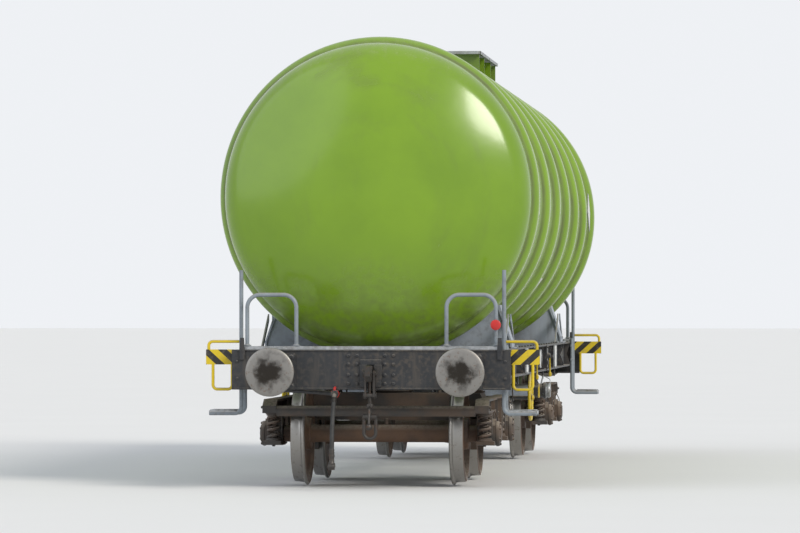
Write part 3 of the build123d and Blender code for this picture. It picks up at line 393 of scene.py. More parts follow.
def cast(name, colour, rust, share=0.55, roughness=0.7):
    """Rough cast or rolled steel with rust bloom, brown brake dust and settled ballast dust."""
    ballast_dust = (0.34, 0.29, 0.235)
    dark_rust = tuple(channel * 0.45 for channel in rust)
    finish = Finish(name, roughness)
    wide = finish.noise(3.1, 6)
    fine = finish.noise(37.0, 7, rough=0.65)
    rusty = wide.to(0.35, 0.65) * share
    pitted = fine.to(0.5, 0.8, 0.0, 0.45)
    dusty = finish.upward() * fine.to(0.3, 0.6, 0.3, 0.8)
    finish.give("Roughness", wide.to(0.3, 0.7, roughness - 0.12, roughness + 0.12))
    tone = finish.layers(colour, (rusty, rust), (pitted, dark_rust), (dusty, ballast_dust))
    return finish.done(tone, finish.noise(85.0, 6, rough=0.65), 0.4, 0.0025)


def tank_paint():
    """Glossy lime paint: a painted highlight on the ring crests, grime and painted shade at the feet of the
    rings, spills below the manhole, and darker patches low down.
    """
    light_lime = (0.175, 0.315, 0.0025)
    dark_lime = (0.14, 0.26, 0.002)
    # Lighter lime, painted as a highlight on the ring crests
    crest_highlight_lime = (0.24, 0.375, 0.012)
    # Dark grime colour, also painted as shade beside the ring feet and near the tank's ends
    grime_and_ring_shade = (0.075, 0.078, 0.035)
    splash = (0.13, 0.13, 0.06)
    spilt = (0.03, 0.032, 0.016)
    crown_dust = (0.27, 0.29, 0.16)
    finish = Finish("lime_tank_paint", 0.24, coat=0.35)
    finish.give("Coat Roughness", 0.12)
    along = finish.axis("X")
    height = finish.axis("Z")
    wide = finish.noise(0.8, 5)

    # Distance from the nearest ring's middle, then the painted highlight on its crest, and the grime and
    # painted shade beside its feet and near the tank's ends
    turn = (along * (1 / ring_pitch) + 0.5).maths("FRACT")
    off_ring = abs(turn - 0.5) * ring_pitch
    crest_highlight = off_ring.to(0.075, 0.03, 0.0, 0.4)
    fade = abs(along).to(5.42, 5.3) * off_ring.to(0.75, 0.15, 0.0, 0.55)
    patches = finish.noise(3.1, 6, (1, 1, 0.5), 0.6).to(0.3, 0.65, 0.35, 0.85)
    # Painted shade, with some grime, in the creases beside each ring's feet
    foot = off_ring.to(0.085, 0.122) * (off_ring.to(0.25, 0.125) | fade) * patches

    # Darker patches low down, drips, specks, spills below the manhole and dust on the crown
    low = (height + wide.to(0.3, 0.7, -0.25, 0.25)).to(2.35, 1.3)
    film = finish.noise(14.0, 6).to(0.3, 0.75, 0.2, 0.6)
    drips = finish.noise(5.5, 6, (1, 0.2, 0.07), 0.6).to(0.52, 0.74)
    # Drips and the low darkening, with the painted shade beside the ring feet
    dirty = drips * 0.3 | low * film | foot
    specks = finish.noise(55.0, 7, rough=0.7).to(0.66, 0.72) * 0.35
    runs = finish.noise(13.0, 5, (1, 0.12, 0.04), 0.55).to(0.5, 0.64, 0.0, 0.75)
    spill = abs(along - manhole_x).to(0.5, 0.2) * runs * height.to(2.2, 3.9)
    dusty = finish.upward() * film.to(0.3, 0.8, 0.1, 0.5)
    finish.give("Roughness", (dirty | dusty).to(0, 0.8, 0.22, 0.7))
    # The lighter lime on the ring crests is a painted highlight
    lime = finish.layers(light_lime, (wide.to(0.35, 0.7), dark_lime), (crest_highlight, crest_highlight_lime))
    # The grime layer also paints shade beside the ring feet
    tone = finish.layers(lime, (dirty, grime_and_ring_shade), (specks, splash), (spill, spilt), (dusty, crown_dust))
    return finish.done(tone, finish.noise(2.6, 3), 0.12, 0.012)


def striped():
    """Yellow and black slanted stripes across the boards, dusty and rubbed."""
    slope = -1.1
    pitch = 0.17
    finish = Finish("warning_stripes", 0.45)
    slant = abs(finish.axis("Y")) + finish.axis("Z") * slope
    band = ((slant + 10.0) * (1 / pitch)).maths("FRACT").to(0.49, 0.51)
    rubbed = finish.noise(19.0, 7, rough=0.65).to(0.5, 0.78, 0.0, 0.5)
    tone = finish.layers((0.64, 0.47, 0.012), (band, (0.018, 0.017, 0.016)), (rubbed, (0.2, 0.17, 0.13)))
    return finish.done(tone, finish.noise(70.0, 5), 0.2, 0.0015)


def galvanised():
    """Zinc-coated steel with pale and dark crystal patches and dull dirt."""
    finish = Finish("galvanised_grey", 0.5, metallic=0.75)
    cells = finish.node("ShaderNodeTexVoronoi", {"Scale": 38.0, "Vector": finish.place}, "Color")
    shade = finish.node("ShaderNodeSeparateColor", {"Color": cells}, "Red")
    dirty = finish.noise(7.0, 7, rough=0.65).to(0.42, 0.72, 0.0, 0.75)
    finish.give("Roughness", dirty.to(0, 0.75, 0.42, 0.75))
    tone = finish.layers((0.33, 0.345, 0.36), (shade, (0.46, 0.475, 0.49)), (dirty, (0.15, 0.135, 0.11)))
    return finish.done(tone, finish.noise(90.0, 5), 0.2, 0.001)


def steel(name, colour, roughness, rust_share):
    """Bare worn steel, bright where it is rubbed, brown in patches."""
    finish = Finish(name, roughness, metallic=0.9)
    rusty = finish.noise(17.0, 7, rough=0.65).to(0.5, 0.72, 0.0, rust_share)
    finish.give("Roughness", rusty.to(0, rust_share, roughness, 0.8))
    tone = finish.layers(colour, (rusty, (0.17, 0.085, 0.045)))
    return finish.done(tone, finish.noise(120.0, 5), 0.25, 0.001)


def buffer_face():
    """Buffer heads rubbed bright near the rim, with dark grease spread over their middles."""
    finish = Finish("rubbed_buffer_face", 0.35, metallic=0.85)
    across = abs(finish.axis("Y")) - buffer_y
    up = finish.axis("Z") - buffer_z
    reach = (across * across + up * up).maths("SQRT")
    greasy = (reach + finish.noise(11.0, 5).to(0.3, 0.7, -0.05, 0.05)).to(0.185, 0.05)
    rusty = finish.noise(31.0, 7, rough=0.65).to(0.55, 0.68, 0.0, 0.6)
    finish.give("Roughness", greasy.to(0, 1.0, 0.42, 0.24))
    tone = finish.layers((0.25, 0.24, 0.225), (rusty, (0.15, 0.085, 0.05)), (greasy, (0.035, 0.03, 0.025)))
    return finish.done(tone, finish.noise(60.0, 5), 0.2, 0.001)


def plain(name, colour, roughness, scale=45.0):
    """Rubber, signs and small painted parts, with uneven tone and a fine surface."""
    faded = tuple(channel * 0.6 + 0.03 for channel in colour)
    finish = Finish(name, roughness)
    tone = finish.layers(colour, (finish.noise(scale / 4, 6).to(0.4, 0.75, 0.0, 0.7), faded))
    return finish.done(tone, finish.noise(scale * 3, 5), 0.2, 0.001)


lime = tank_paint()
frame_dark = painted("dark_frame_paint", (0.022, 0.024, 0.028), (0.105, 0.085, 0.065), 0.45, 0.55)
saddle_grey = painted("grey_saddle_paint", (0.33, 0.37, 0.44), (0.12, 0.11, 0.1), 0.5, 0.5)
rail_pale = painted("pale_rail_paint", (0.235, 0.27, 0.305), (0.11, 0.1, 0.09), 0.45, 0.5)
yellow = painted("yellow_grip_paint", (0.66, 0.485, 0.012), (0.22, 0.16, 0.06), 0.4, 0.35)
stripes = striped()
zinc = galvanised()
bogie_cast = cast("bogie_cast_steel", (0.045, 0.042, 0.04), (0.155, 0.1, 0.066))
spring_steel = cast("spring_steel", (0.045, 0.04, 0.038), (0.2, 0.12, 0.075), 0.5, 0.6)
wheel_rust = cast("wheel_web_steel", (0.075, 0.05, 0.038), (0.18, 0.105, 0.064), 0.7, 0.75)
tread_steel = steel("polished_tread_steel", (0.31, 0.3, 0.285), 0.3, 0.1)
greased = steel("greased_buffer_steel", (0.2, 0.19, 0.18), 0.38, 0.35)
buffer_steel = buffer_face()
dark_steel = steel("dark_forged_steel", (0.075, 0.07, 0.066), 0.5, 0.5)
rubber = plain("black_hose_rubber", (0.02, 0.02, 0.02), 0.65)
blank_white = plain("blank_white_plate", (0.72, 0.72, 0.69), 0.4, 20.0)
signal_red = plain("red_marker_paint", (0.55, 0.018, 0.014), 0.35)

# Each finish, and how the names of the nodes that take it start
frame_nodes = "side_sill_ centre_sills cross_members headstock_ body_bolsters buffer_housings"
under_nodes = "air_reservoir reservoir_hangers brake_cylinder brake_pipe outlet_valves hand_brake_wheels"
node_finishes = {
    lime: "tank_shell manhole_neck manhole_lid walkway_brackets",
    frame_dark: f"{frame_nodes} {under_nodes}",
    saddle_grey: "saddle_rear saddle_front outlet_pipe",
    rail_pale: "saddle_braces end_handrails corner_steps end_ladder",
    yellow: "shunter_grips",
    stripes: "striped_boards",
    zinc: "manhole_walkways crown_walkway end_platforms outlet_caps top_valves",
    rubber: "brake_hose_",
    dark_steel: "draw_hooks screw_couplings hose_head_",
    greased: "buffer_heads",
    bogie_cast: "bogie_ axleboxes_ brake_beams_ side_bearers_",
    spring_steel: "springs_",
    wheel_rust: "wheelset_",
}
for material, starts in node_finishes.items():
    for name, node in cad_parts.items():
        if name.startswith(tuple(starts.split())):
            node.data.materials.clear()
            node.data.materials.append(material)


def tank_profile():
    """Distance along the axis and radius of the tank, with rounded rings and low weld beads."""
    knuckle_r = shell_radius - knuckle_radius
    crown_x = shell_half_length - sqrt((crown_radius - knuckle_radius) ** 2 - knuckle_r**2)
    split = asin(knuckle_r / (crown_radius - knuckle_radius))
    crown_end = []
    for step in range(19):
        angle = split * step / 18
        crown_end.append((crown_x + crown_radius * cos(angle), crown_radius * sin(angle)))
    for step in range(1, 13):
        angle = split + (pi / 2 - split) * step / 12
        along = shell_half_length + knuckle_radius * cos(angle)
        crown_end.append((along, knuckle_r + knuckle_radius * sin(angle)))
    bead = [(-0.03, 0), (-0.012, 0), (-0.006, 0.0025), (0, 0.0035), (0.006, 0.0025), (0.012, 0), (0.03, 0)]
    places = [("bead", 0.035 - shell_half_length)]
    for number in range(7):
        places.append(("ring", (number - 3) * ring_pitch))
        if number < 6:
            places.append(("bead", (number - 2.5) * ring_pitch + (0.22 if number % 2 else -0.22)))
    places.append(("bead", shell_half_length - 0.035))
    half_foot = ring_foot / 2
    profile = [(-x, r) for x, r in crown_end]
    for kind, middle in places:
        if kind == "bead":
            profile.extend((middle + x, shell_radius + rise) for x, rise in bead)
            continue
        profile.extend((middle - half_foot - gap, shell_radius) for gap in (0.03, 0.008))
        for step in range(21):
            share = -1 + step / 10
            rise = ring_height * (1 - abs(share) ** 2.7) + 0.004 * abs(share) ** 8
            profile.append((middle + half_foot * share, shell_radius + rise))
        profile.extend((middle + half_foot + gap, shell_radius) for gap in (0.008, 0.03))
    profile.extend(reversed(crown_end))
    return profile


def make_tank():
    """The ringed shell with its ends, and the long weld seams between the rings."""
    tank = Shape()
    tank.lathe(tank_profile(), Z * tank_axis_z, X, 144)
    put("ringed_tank", tank, lime, smooth=50, replaces="tank_shell")
    seams = Shape()
    for number in range(-1, 7):
        start = max((number - 3) * ring_pitch + ring_foot / 2 + 0.01, 0.02 - shell_half_length)
        end = min((number - 2) * ring_pitch - ring_foot / 2 - 0.01, shell_half_length - 0.02)
        angle = radians(62 if number % 2 else 74)
        for turn in (angle, -angle):
            middle = Z * tank_axis_z + at(0, sin(turn), cos(turn)) * (shell_radius - 0.003)
            seams.rod(middle + X * start, middle + X * end, 0.0065, 8)
    put("shell_seams", seams, lime)


def grate(shape, low, high, top, pitch=0.034, cross=0.1):
    """Bearing bars across the short side, round bars along the long side, and a flat edge all round."""
    thick = 0.004
    depth = 0.03
    length = high[0] - low[0]
    width = high[1] - low[1]
    middle = at((low[0] + high[0]) / 2, (low[1] + high[1]) / 2, top - depth / 2)
    for edge in SIDES:
        shape.box(middle + X * edge * (length / 2 - thick), (2 * thick, width, depth), chamfer=0.001)
        shape.box(middle + Y * edge * (width / 2 - thick), (length, 2 * thick, depth), chamfer=0.001)
    count = int(length / pitch)
    for number in range(1, count):
        place = middle + X * length * (number / count - 0.5)
        shape.plate(corners(place, Y * width / 2, Z * depth / 2), X * thick)
    rows = int(width / cross)
    for number in range(1, rows + 1):
        start = at(low[0], low[1] + width * (number - 0.5) / rows, top - thick)
        shape.rod(start, start + X * length, 0.0035, 6)


def make_walkways():
    """Open gratings beside the manhole, along the crown and on the end platforms."""
    walks = Shape()
    for side in SIDES:
        inner, outer = sorted((side * 0.33, side * 0.73))
        grate(walks, (manhole_x - walk_reach, inner), (manhole_x + walk_reach, outer), grating_top)
    put("manhole_gratings", walks, zinc, replaces="manhole_walkways")
    crown = Shape()
    grate(crown, (manhole_x + walk_reach, 0.13), (5.15, 0.53), grating_top)
    put("crown_grating", crown, zinc, replaces="crown_walkway")
    ends = Shape()
    for end in ENDS.values():
        low, high = sorted((end * 5.7, end * headstock_face))
        grate(ends, (low, -sill_face), (high, sill_face), 1.32, 0.038, 0.12)
    put("end_gratings", ends, zinc, replaces="end_platforms")


def make_wheels():
    """Monobloc wheels with a coned tread, rounded flange and dished web, on a stepped axle."""
    # Pairs of distance from the wagon's middle line and radius, from the axle's middle outwards
    inner = [(0, 0.083), (0.6, 0.083), (0.645, 0.09), (0.66, 0.092), (0.66, 0.143), (0.664, 0.147)]
    inner += [(0.7, 0.15), (0.722, 0.168), (0.735, 0.21), (0.728, 0.3), (0.716, 0.37), (0.7, 0.392)]
    inner += [(0.684, 0.402), (0.68, 0.41), (0.68, 0.468)]
    tread = [(0.68, 0.468), (0.684, 0.479), (0.692, 0.486), (0.699, 0.488), (0.707, 0.484), (0.713, 0.474)]
    tread += [(0.718, 0.465), (0.728, 0.4612), (0.75, 0.46), (0.8, 0.4575), (0.811, 0.455)]
    outer = [(0.811, 0.455), (0.815, 0.45), (0.8155, 0.43), (0.815, 0.402), (0.79, 0.396), (0.765, 0.385)]
    outer += [(0.752, 0.36), (0.76, 0.28), (0.768, 0.2), (0.775, 0.172), (0.79, 0.155), (0.831, 0.148)]
    outer += [(0.835, 0.144), (0.835, 0.1), (0.845, 0.082), (0.915, 0.08), (0.915, 0.06), (1.08, 0.06)]
    outer += [(1.08, 0)]
    for number, (end, axle) in enumerate(CORNERS, 1):
        name = f"wheelset_{number}"
        origin = at(end * bogie_pivot + axle * half_wheelbase, 0, axle_z)
        rust = Shape()
        bright = Shape()
        marks = Shape()
        for side in SIDES:
            for shape, profile in ((rust, inner), (rust, outer), (bright, tread)):
                shape.lathe(profile, origin, Y * side, 64, caps=False)
            for mark in range(3):
                turn = Matrix.Rotation(-2 * pi * mark / 3 - radians(35), 3, "Y")
                marks.box(origin + turn @ at(0.427, side * 0.8153, 0), (0.04, 0.0024, 0.028), turn, 0.0005)
        put(f"{name}_webs", rust, wheel_rust, name, 30, name)
        put(f"{name}_treads", bright, tread_steel, name, 30)
        put(f"{name}_marks", marks, blank_white, name)


def make_springs():
    """Two nested coils at each spring place."""
    for end_name, end in ENDS.items():
        coils = Shape()
        for axle, side, shift in product(SIDES, repeat=3):
            x = end * bogie_pivot + axle * half_wheelbase + shift * spring_reach
            low = at(x, side * spring_y, 0.42)
            high = at(x, side * spring_y, 0.69)
            coils.spring(low, high, 0.066, 0.0125, 5.5)
            coils.spring(low, high, 0.036, 0.007, 8.5, 6)
        name = f"springs_{end_name}"
        put(f"coil_{name}", coils, spring_steel, f"bogie_{end_name}", 60, name)


def make_buffers():
    """Slightly domed buffer heads with a rounded rim, and what holds their housings."""
    face = [(0.012 * (step / 8) ** 2, 0.215 * step / 8) for step in range(9)]
    face += [(0.016, 0.222), (0.022, 0.225), (0.03, 0.225), (0.034, 0.221), (0.042, 0.15)]
    face += [(0.07, 0.1), (0.09, 0.088), (0.35, 0.088)]
    rib = ((0.11, 0), (0.165, 0), (0.128, 0.12), (0.11, 0.12))
    heads = Shape()
    fixings = Shape()
    for end, side in CORNERS:
        out = X * end
        heads.lathe(face, (end * half_length, side * buffer_y, buffer_z), -out, 48)
        base = at(end * (headstock_face + 0.024), side * buffer_y, buffer_z)
        fixings.bolts(corners(base, Y * 0.135, Z * 0.135), out, 0.019)
        fixings.lathe([(0, 0.115), (0, 0.121), (0.02, 0.118), (0.026, 0.115)], base, out, 40, True)
        lip = [(0, 0.114), (0, 0.124), (0.026, 0.124), (0.026, 0.089)]
        fixings.lathe(lip, base + out * 0.28, out, 40, True)
        for spoke in spokes(4, Y, Z, 0.5):
            outline = [base + spoke * reach + out * ahead for reach, ahead in rib]
            fixings.plate(outline, spoke.cross(X) * 0.012)
    put("domed_buffer_heads", heads, buffer_steel, smooth=35, replaces="buffer_heads")
    put("buffer_fixings", fixings, frame_dark)


def make_couplings():
    """Screw couplings: links, threaded spindle, trunnion nuts, bow and the weighted lever."""
    thread = [(0, 0.016)]
    for step in range(32):
        thread += [(0.006 + step * 0.0125, 0.017), (0.012 + step * 0.0125, 0.021)]
    thread.append((0.42, 0.016))
    ball = [(-0.032, 0.001), (-0.028, 0.016), (-0.016, 0.028), (0, 0.032)]
    ball += [(-distance, radius) for distance, radius in reversed(ball[:3])]
    links = Shape()
    link = 0.2
    for end in ENDS.values():
        hook = at(end * (headstock_face + 0.095), 0, hook_z)
        upper_nut = hook - Z * link
        lower_nut = hook - Z * 2 * link
        # Each pin's middle, half length and radius, then its heads' start, end and radius
        for pin, half, radius, head_start, head_end, head_radius in (
            (hook, 0.055, 0.023, 0.05, 0.062, 0.03),
            (upper_nut, 0.055, 0.026, 0.05, 0.062, 0.028),
            (lower_nut, 0.066, 0.027, 0.045, 0.066, 0.026),
        ):
            links.rod(pin - Y * half, pin + Y * half, radius, 20)
            for side in SIDES:
                links.rod(pin + Y * side * head_start, pin + Y * side * head_end, head_radius, 18)
        for side in SIDES:
            top = arc(hook + Y * side * 0.041, X * 0.035, Z * 0.035, 0, 180, 16)
            foot = arc(upper_nut + Y * side * 0.041, X * 0.035, Z * 0.035, 180, 360, 16)
            links.plate(top + foot, Y * 0.018)
        links.lathe(thread, lower_nut - Z * 0.025, Z, 16)
        links.box(hook - Z * 0.3, (0.06, 0.06, 0.045), chamfer=0.008)
        bow = path_from(lower_nut, (0, -0.055, 0), (0, -0.055, -link), (0, 0.055, -link), (0, 0.055, 0))
        links.tube(bow, 0.016, 0.05, 14)
        lever = path_from(hook, (0, 0, -0.3), (end * 0.075, 0, -0.33), (end * 0.1, 0, -0.47))
        links.tube(lever, 0.011, 0.04, 12)
        links.lathe(ball, hook + at(end * 0.103, 0, -0.49), Z, 20)
    put("threaded_couplings", links, dark_steel, replaces="screw_couplings")


def make_hoses():
    """Brake hoses that hang from the end cocks, their clamps and coupling heads, and the cocks' handles."""
    sleeve = [(-0.004, 0.0225), (0, 0.0235), (0.05, 0.0235), (0.054, 0.0225)]
    neck = [(0, 0.026), (0.012, 0.028), (0.03, 0.022), (0.07, 0.024)]
    neck += [(0.085, 0.032), (0.11, 0.034), (0.12, 0.028)]
    claw = [(-0.03, 0.02), (-0.03, 0.028), (-0.02, 0.031), (0.02, 0.031)]
    claw += [(0.03, 0.028), (0.034, 0.026), (0.034, 0.014)]
    collar = [(-0.05, 0.036), (-0.046, 0.04), (-0.03, 0.04), (-0.026, 0.036)]
    cocks = Shape()
    for end_name, end in ENDS.items():
        slope = at(end * cos(pi / 4), 0, -sin(pi / 4))
        cock = at(end * 6.16, 0.33, 0.88)
        start = cock + slope * 0.06
        corner = cock + slope * 0.36
        foot = corner - Z * 0.3
        curve = bpy.data.curves.new(f"air_hose_{end_name}", "CURVE")
        curve.dimensions = "3D"
        spline = curve.splines.new("NURBS")
        spline.points.add(2)
        for point, place in zip(spline.points, (start, corner, foot)):
            point.co = (*place, 1)
        spline.order_u = 3
        spline.use_endpoint_u = True
        spline.resolution_u = 24
        curve.bevel_depth = 0.02
        curve.bevel_resolution = 6
        curve.use_fill_caps = True
        curve.materials.append(rubber)
        hose = show(f"air_hose_{end_name}", curve)
        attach(hose, "root")
        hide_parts(f"brake_hose_{end_name}")

        fittings = Shape()
        for place, axis in ((start, slope), (foot, Z)):
            fittings.lathe(sleeve, place, axis, 28)
            for along in (0.012, 0.038):
                fittings.lathe([(along, 0.0236), (along, 0.0262), (along + 0.009, 0.0262)], place, axis, 28)
                fittings.bolt(place + axis * (along + 0.0045) + Y * 0.025, Y, 0.005, False)
        fittings.lathe(neck, foot, -Z, 28)
        face = foot + at(end * 0.017, 0, -0.11)
        fittings.lathe(claw, face, Y, 32)
        fittings.box(face + at(end * 0.012, 0.012, 0.02), (0.018, 0.03, 0.05))
        plain_head = f"hose_head_{end_name}"
        head = put(f"hose_fittings_{end_name}", fittings, dark_steel, replaces=plain_head)
        cocks.lathe(collar, cock, X * end, 28, True)
        cocks.rod(cock + Z * 0.02, cock + Z * 0.062, 0.013)
        grip = path_from(cock, (0, 0, 0.056), (-end * 0.05, 0, 0.062), (-end * 0.14, 0, 0.045))
        cocks.tube(grip, 0.009, 0.03)
    put("end_cock_handles", cocks, signal_red)


def make_manhole():
    """Clamps, wing nuts and handle on the lid, and bolts and caps on the valve bodies."""
    lid = Shape()
    lid_top = at(manhole_x, 0, rim_z + 0.0263)
    wing_outline = ((0, 0.022), (0.04, 0.03), (0.046, 0.05), (0.012, 0.036))
    for number in range(8):
        turn = Matrix.Rotation(2 * pi * (number + 0.5) / 8, 3, "Z")
        spoke = turn @ X
        place = lid_top + spoke * 0.262
        lid.box(place + Z * 0.008, (0.05, 0.045, 0.016), turn)
        lid.rod(place + Z * 0.014, place + Z * 0.07, 0.008)
        lid.lathe([(0, 0.016), (0.014, 0.014), (0.018, 0.01)], place + Z * 0.018, Z, 12)
        for wing in SIDES:
            across = turn @ Y * wing
            lid.plate([place + across * out + Z * up for out, up in wing_outline], spoke * 0.006)
    for number in range(4):
        lid.box(lid_top + Z * 0.021, (0.34, 0.012, 0.008), Matrix.Rotation(pi * number / 4, 3, "Z"), 0.002)
    handle = path_from(lid_top, (0.07, 0, 0.016), (0.07, 0, 0.061), (-0.07, 0, 0.061), (-0.07, 0, 0.016))
    lid.tube(handle, 0.008, 0.02)
    put("lid_clamps", lid, zinc, "manhole_lid")

    fixed = Shape()
    rim = at(manhole_x, 0, rim_z)
    weld = [(0, 0.268), (0.004, 0.258), (0.012, 0.2515), (0.02, 0.2505)]
    fixed.lathe(weld, rim - Z * 0.085, Z, 64, caps=False)
    # The hinge takes the rearmost bolt's place
    fixed.bolts([rim + spoke * 0.272 - Z * 0.024 for spoke in spokes(16, X, Y) if spoke.x > -0.99], -Z, 0.009)
    for side in SIDES:
        knuckle = rim + at(-0.325, side * 0.055, 0.013)
        fixed.lathe([(0, 0.017), (0.008, 0.017), (0.011, 0.013)], knuckle, Y * side, 20)
    # Place along the rings' pitch, radius and height of each valve body
    for share, radius, height in ((-0.323, 0.095, 0.075), (0.277, 0.07, 0.09), (0.669, 0.055, 0.06)):
        top = at(manhole_x + share * ring_pitch, 0, crown_z + height - 0.022)
        fixed.bolts([top + spoke * (radius + 0.011) for spoke in spokes(8, X, Y, 0.5)], Z, 0.007)
        cap = [(0, radius - 0.018), (0.01, radius - 0.02)]
        cap += [(0.022, radius * 0.5), (0.028, radius * 0.3), (0.03, 0)]
        fixed.lathe(cap, top, Z, 32)
    put("valve_caps_and_bolts", fixed, zinc)


def make_frame_fixings():
    """Gussets, bolts, lashing rings, hook guides and lamp irons on the sills and headstocks."""
    fixings = Shape()
    gusset_places = (0.6, 1.5, 2.0, 2.82, 4.03, 4.33, 5.6)
    web = 1.142
    lip = 1.206
    gusset = [(web, 1.028), (lip, 1.028), (lip, 1.05), (1.17, 1.15)]
    gusset += [(lip, 1.25), (lip, 1.272), (web, 1.272)]
    blade = ((-0.025, 0.03), (0.025, 0.03), (0.018, 0.16), (-0.018, 0.16))
    for side in SIDES:
        for x in (0, *gusset_places, *(-place for place in gusset_places)):
            fixings.plate([(x, side * y, z) for y, z in gusset], (0.01, 0, 0))
        for x in (-3.1, -1.0, 1.0, 3.1):
            place = at(x, side * 1.17, 1.008)
            fixings.box(place, (0.09, 0.05, 0.012))
            ring = path_from(place, (-0.03, 0, 0), (-0.04, 0, -0.08), (0.04, 0, -0.08), (0.03, 0, 0))
            fixings.tube(ring, 0.008, 0.03)
        fixings.bolts(line(at(-5.85, side * 1.19, sill_top), X * 0.45, 27), Z, 0.009)
    for end, side in CORNERS:
        out = X * end
        face = out * headstock_face
        for across, up in product((0.13, 0.21), (-0.13, -0.05, 0.05, 0.13)):
            fixings.bolt(face + at(0, side * across, 1.104 + up), out, 0.013)
        for up in (-0.08, 0.08):
            fixings.bolt(face + at(0, side * 1.25, 1.1 + up), out, 0.011)
        iron = face + at(end * 0.012, side * 1.2, 1.24)
        fixings.box(iron, (0.024, 0.05, 0.09))
        fixings.plate([iron + at(end * 0.012, y, z) for y, z in blade], X * 0.008)
        fixings.box(face + at(end * 0.012, side * 0.068, hook_z + 0.003), (0.024, 0.07, 0.16))
    for end in ENDS.values():
        for up in (-0.098, 0.105):
            fixings.box((end * (headstock_face + 0.012), 0, hook_z + up), (0.024, 0.2, 0.05))
        for height in (1.28, 0.928):
            fixings.box((end * (headstock_face + 0.004), 0, height), (0.012, 2.5, 0.014), chamfer=0.003)
    put("frame_fixings", fixings, frame_dark)


def make_saddle_gussets():
    """Gussets below the shell on both saddles, the welds along them, and the bolts at their feet."""
    cradle = Shape()
    weld_radius = 1.4515
    for end in ENDS.values():
        middle = at(end * bogie_pivot, 0, tank_axis_z)
        for shift in (-0.171, 0.171):
            bead = arc(middle + X * shift, -Z * weld_radius, Y * weld_radius, -45.5, 45.5, 24)
            cradle.sweep(bead, [0.007] * len(bead), 8)
        for side in SIDES:
            for degree in (22, 32, 41):
                upper = middle + at(0, side * sin(radians(degree)), -cos(radians(degree))) * 1.47
                foot = at(upper.x, upper.y + side * 0.02, 1.295)
                half = X * 0.13
                cradle.plate([foot - half, foot + half, upper + half, upper - half], Y * 0.012)
            for across in (-0.12, 0.0, 0.12):
                cradle.bolt((middle.x + across, side * 1.186, 1.345), (0, side, 0.25), 0.012)
                cradle.box((middle.x + across, side * 1.2, 1.296), (0.05, 0.05, 0.012))
    put("saddle_gussets", cradle, saddle_grey)


def make_rail_feet():
    """Feet of the braces, clips of the corner steps, and collars of the handrails."""
    links = Shape()
    collar = [(0, 0.038), (0.008, 0.038), (0.012, 0.024), (0.02, 0.02)]
    for end, side in CORNERS:
        for direction in SIDES:
            foot = at(end * bogie_pivot + direction * 0.704, side * 1.16, 1.296)
            links.box(foot, (0.16, 0.075, 0.012))
            links.bolts(corners(foot + Z * 0.006, X * 0.05, Y * 0.026), Z, 0.008)
        for clip in corners(at(end * step_x, side * 1.222, 1.16), X * 0.145, Z * 0.08):
            links.box(clip, (0.056, 0.02, 0.03))
            links.bolts([clip + at(shift, side * 0.01, 0) for shift in (0.018, -0.018)], Y * side, 0.006)
        for y in (0.7, rail_y):
            links.lathe(collar, (end * rail_x, side * y, 1.324), Z, 20)
    put("rail_feet_and_clips", links, rail_pale)


def make_steps():
    """Open treads with raised teeth at the four corners."""
    treads = Shape()
    for end, side in CORNERS:
        middle = at(end * step_x, side * 1.405, 0.706)
        for edge in SIDES:
            treads.box(middle + X * edge * 0.1525, (0.008, 0.254, 0.03), chamfer=0.002)
            treads.box(middle + Y * edge * 0.123, (0.312, 0.008, 0.03), chamfer=0.002)
        for place in line(middle + at(0, -0.1, 0.012), Y * 0.025, 9):
            treads.box(place, (0.292, 0.004, 0.02), chamfer=0.001)
        for place in line(middle + at(-0.138, 0, 0.019), X * 0.023, 13):
            treads.box(place, (0.004, 0.236, 0.01), chamfer=0.001)
    put("corner_treads", treads, zinc)


def make_signs():
    """Blank plates and their holders, and the red emergency handle."""
    plates = Shape()
    holders = Shape()
    droop = atan2(0.868, 1.13)
    for side in SIDES:
        for x, width, height in ((-2.45, 0.34, 0.22), (2.45, 0.34, 0.22), (-0.3, 0.22, 0.16)):
            middle = at(x, side * 1.214, 1.15)
            outer = middle + Y * side * 0.008
            holders.box(middle, (width + 0.03, 0.008, height + 0.03), chamfer=0.002)
            for edge in SIDES:
                holders.box(outer + X * edge * (width / 2 + 0.008), (0.014, 0.012, height + 0.03))
            holders.box(outer - Z * (height / 2 + 0.008), (width + 0.03, 0.012, 0.014))
            plates.box(middle + Y * side * 0.006, (width, 0.004, height), chamfer=0.001)
        for x in (-4.75, 4.75):
            spoke = at(0, side * cos(radians(2)), sin(radians(2)))
            middle = at(x, 0, tank_axis_z) + spoke * 1.478
            turn = Matrix.Rotation(radians(2) * side, 3, "X") @ Matrix.Rotation(pi / 4, 3, "Y")
            plates.box(middle, (0.3, 0.003, 0.3), turn, 0.001)
            holders.box(middle - spoke * 0.006, (0.32, 0.006, 0.32), turn, 0.002)
            for across in (-0.1, 0.1):
                holders.rod(middle + X * across - spoke * 0.03, middle + X * across, 0.012, 8)
        middle = at(-0.866, 0, tank_axis_z) + at(0, side * cos(droop), -sin(droop)) * 1.453
        plates.box(middle, (0.62, 0.004, 0.36), Matrix.Rotation(-side * droop, 3, "X"), 0.001)
    put("blank_plates", plates, blank_white)
    put("plate_holders", holders, zinc)

    red = Shape()
    disc = [(0, 0.04), (0.004, 0.048), (0.016, 0.048), (0.02, 0.04), (0.021, 0)]
    for end in ENDS.values():
        place = at(end * rail_x, end * rail_y, 1.52)
        red.lathe([(-0.03, 0.0195), (-0.03, 0.028), (0.03, 0.028), (0.03, 0.0195)], place, Z, 20)
        red.lathe(disc, place + X * end * 0.026, X * end, 28)
    put("red_markers", red, signal_red)


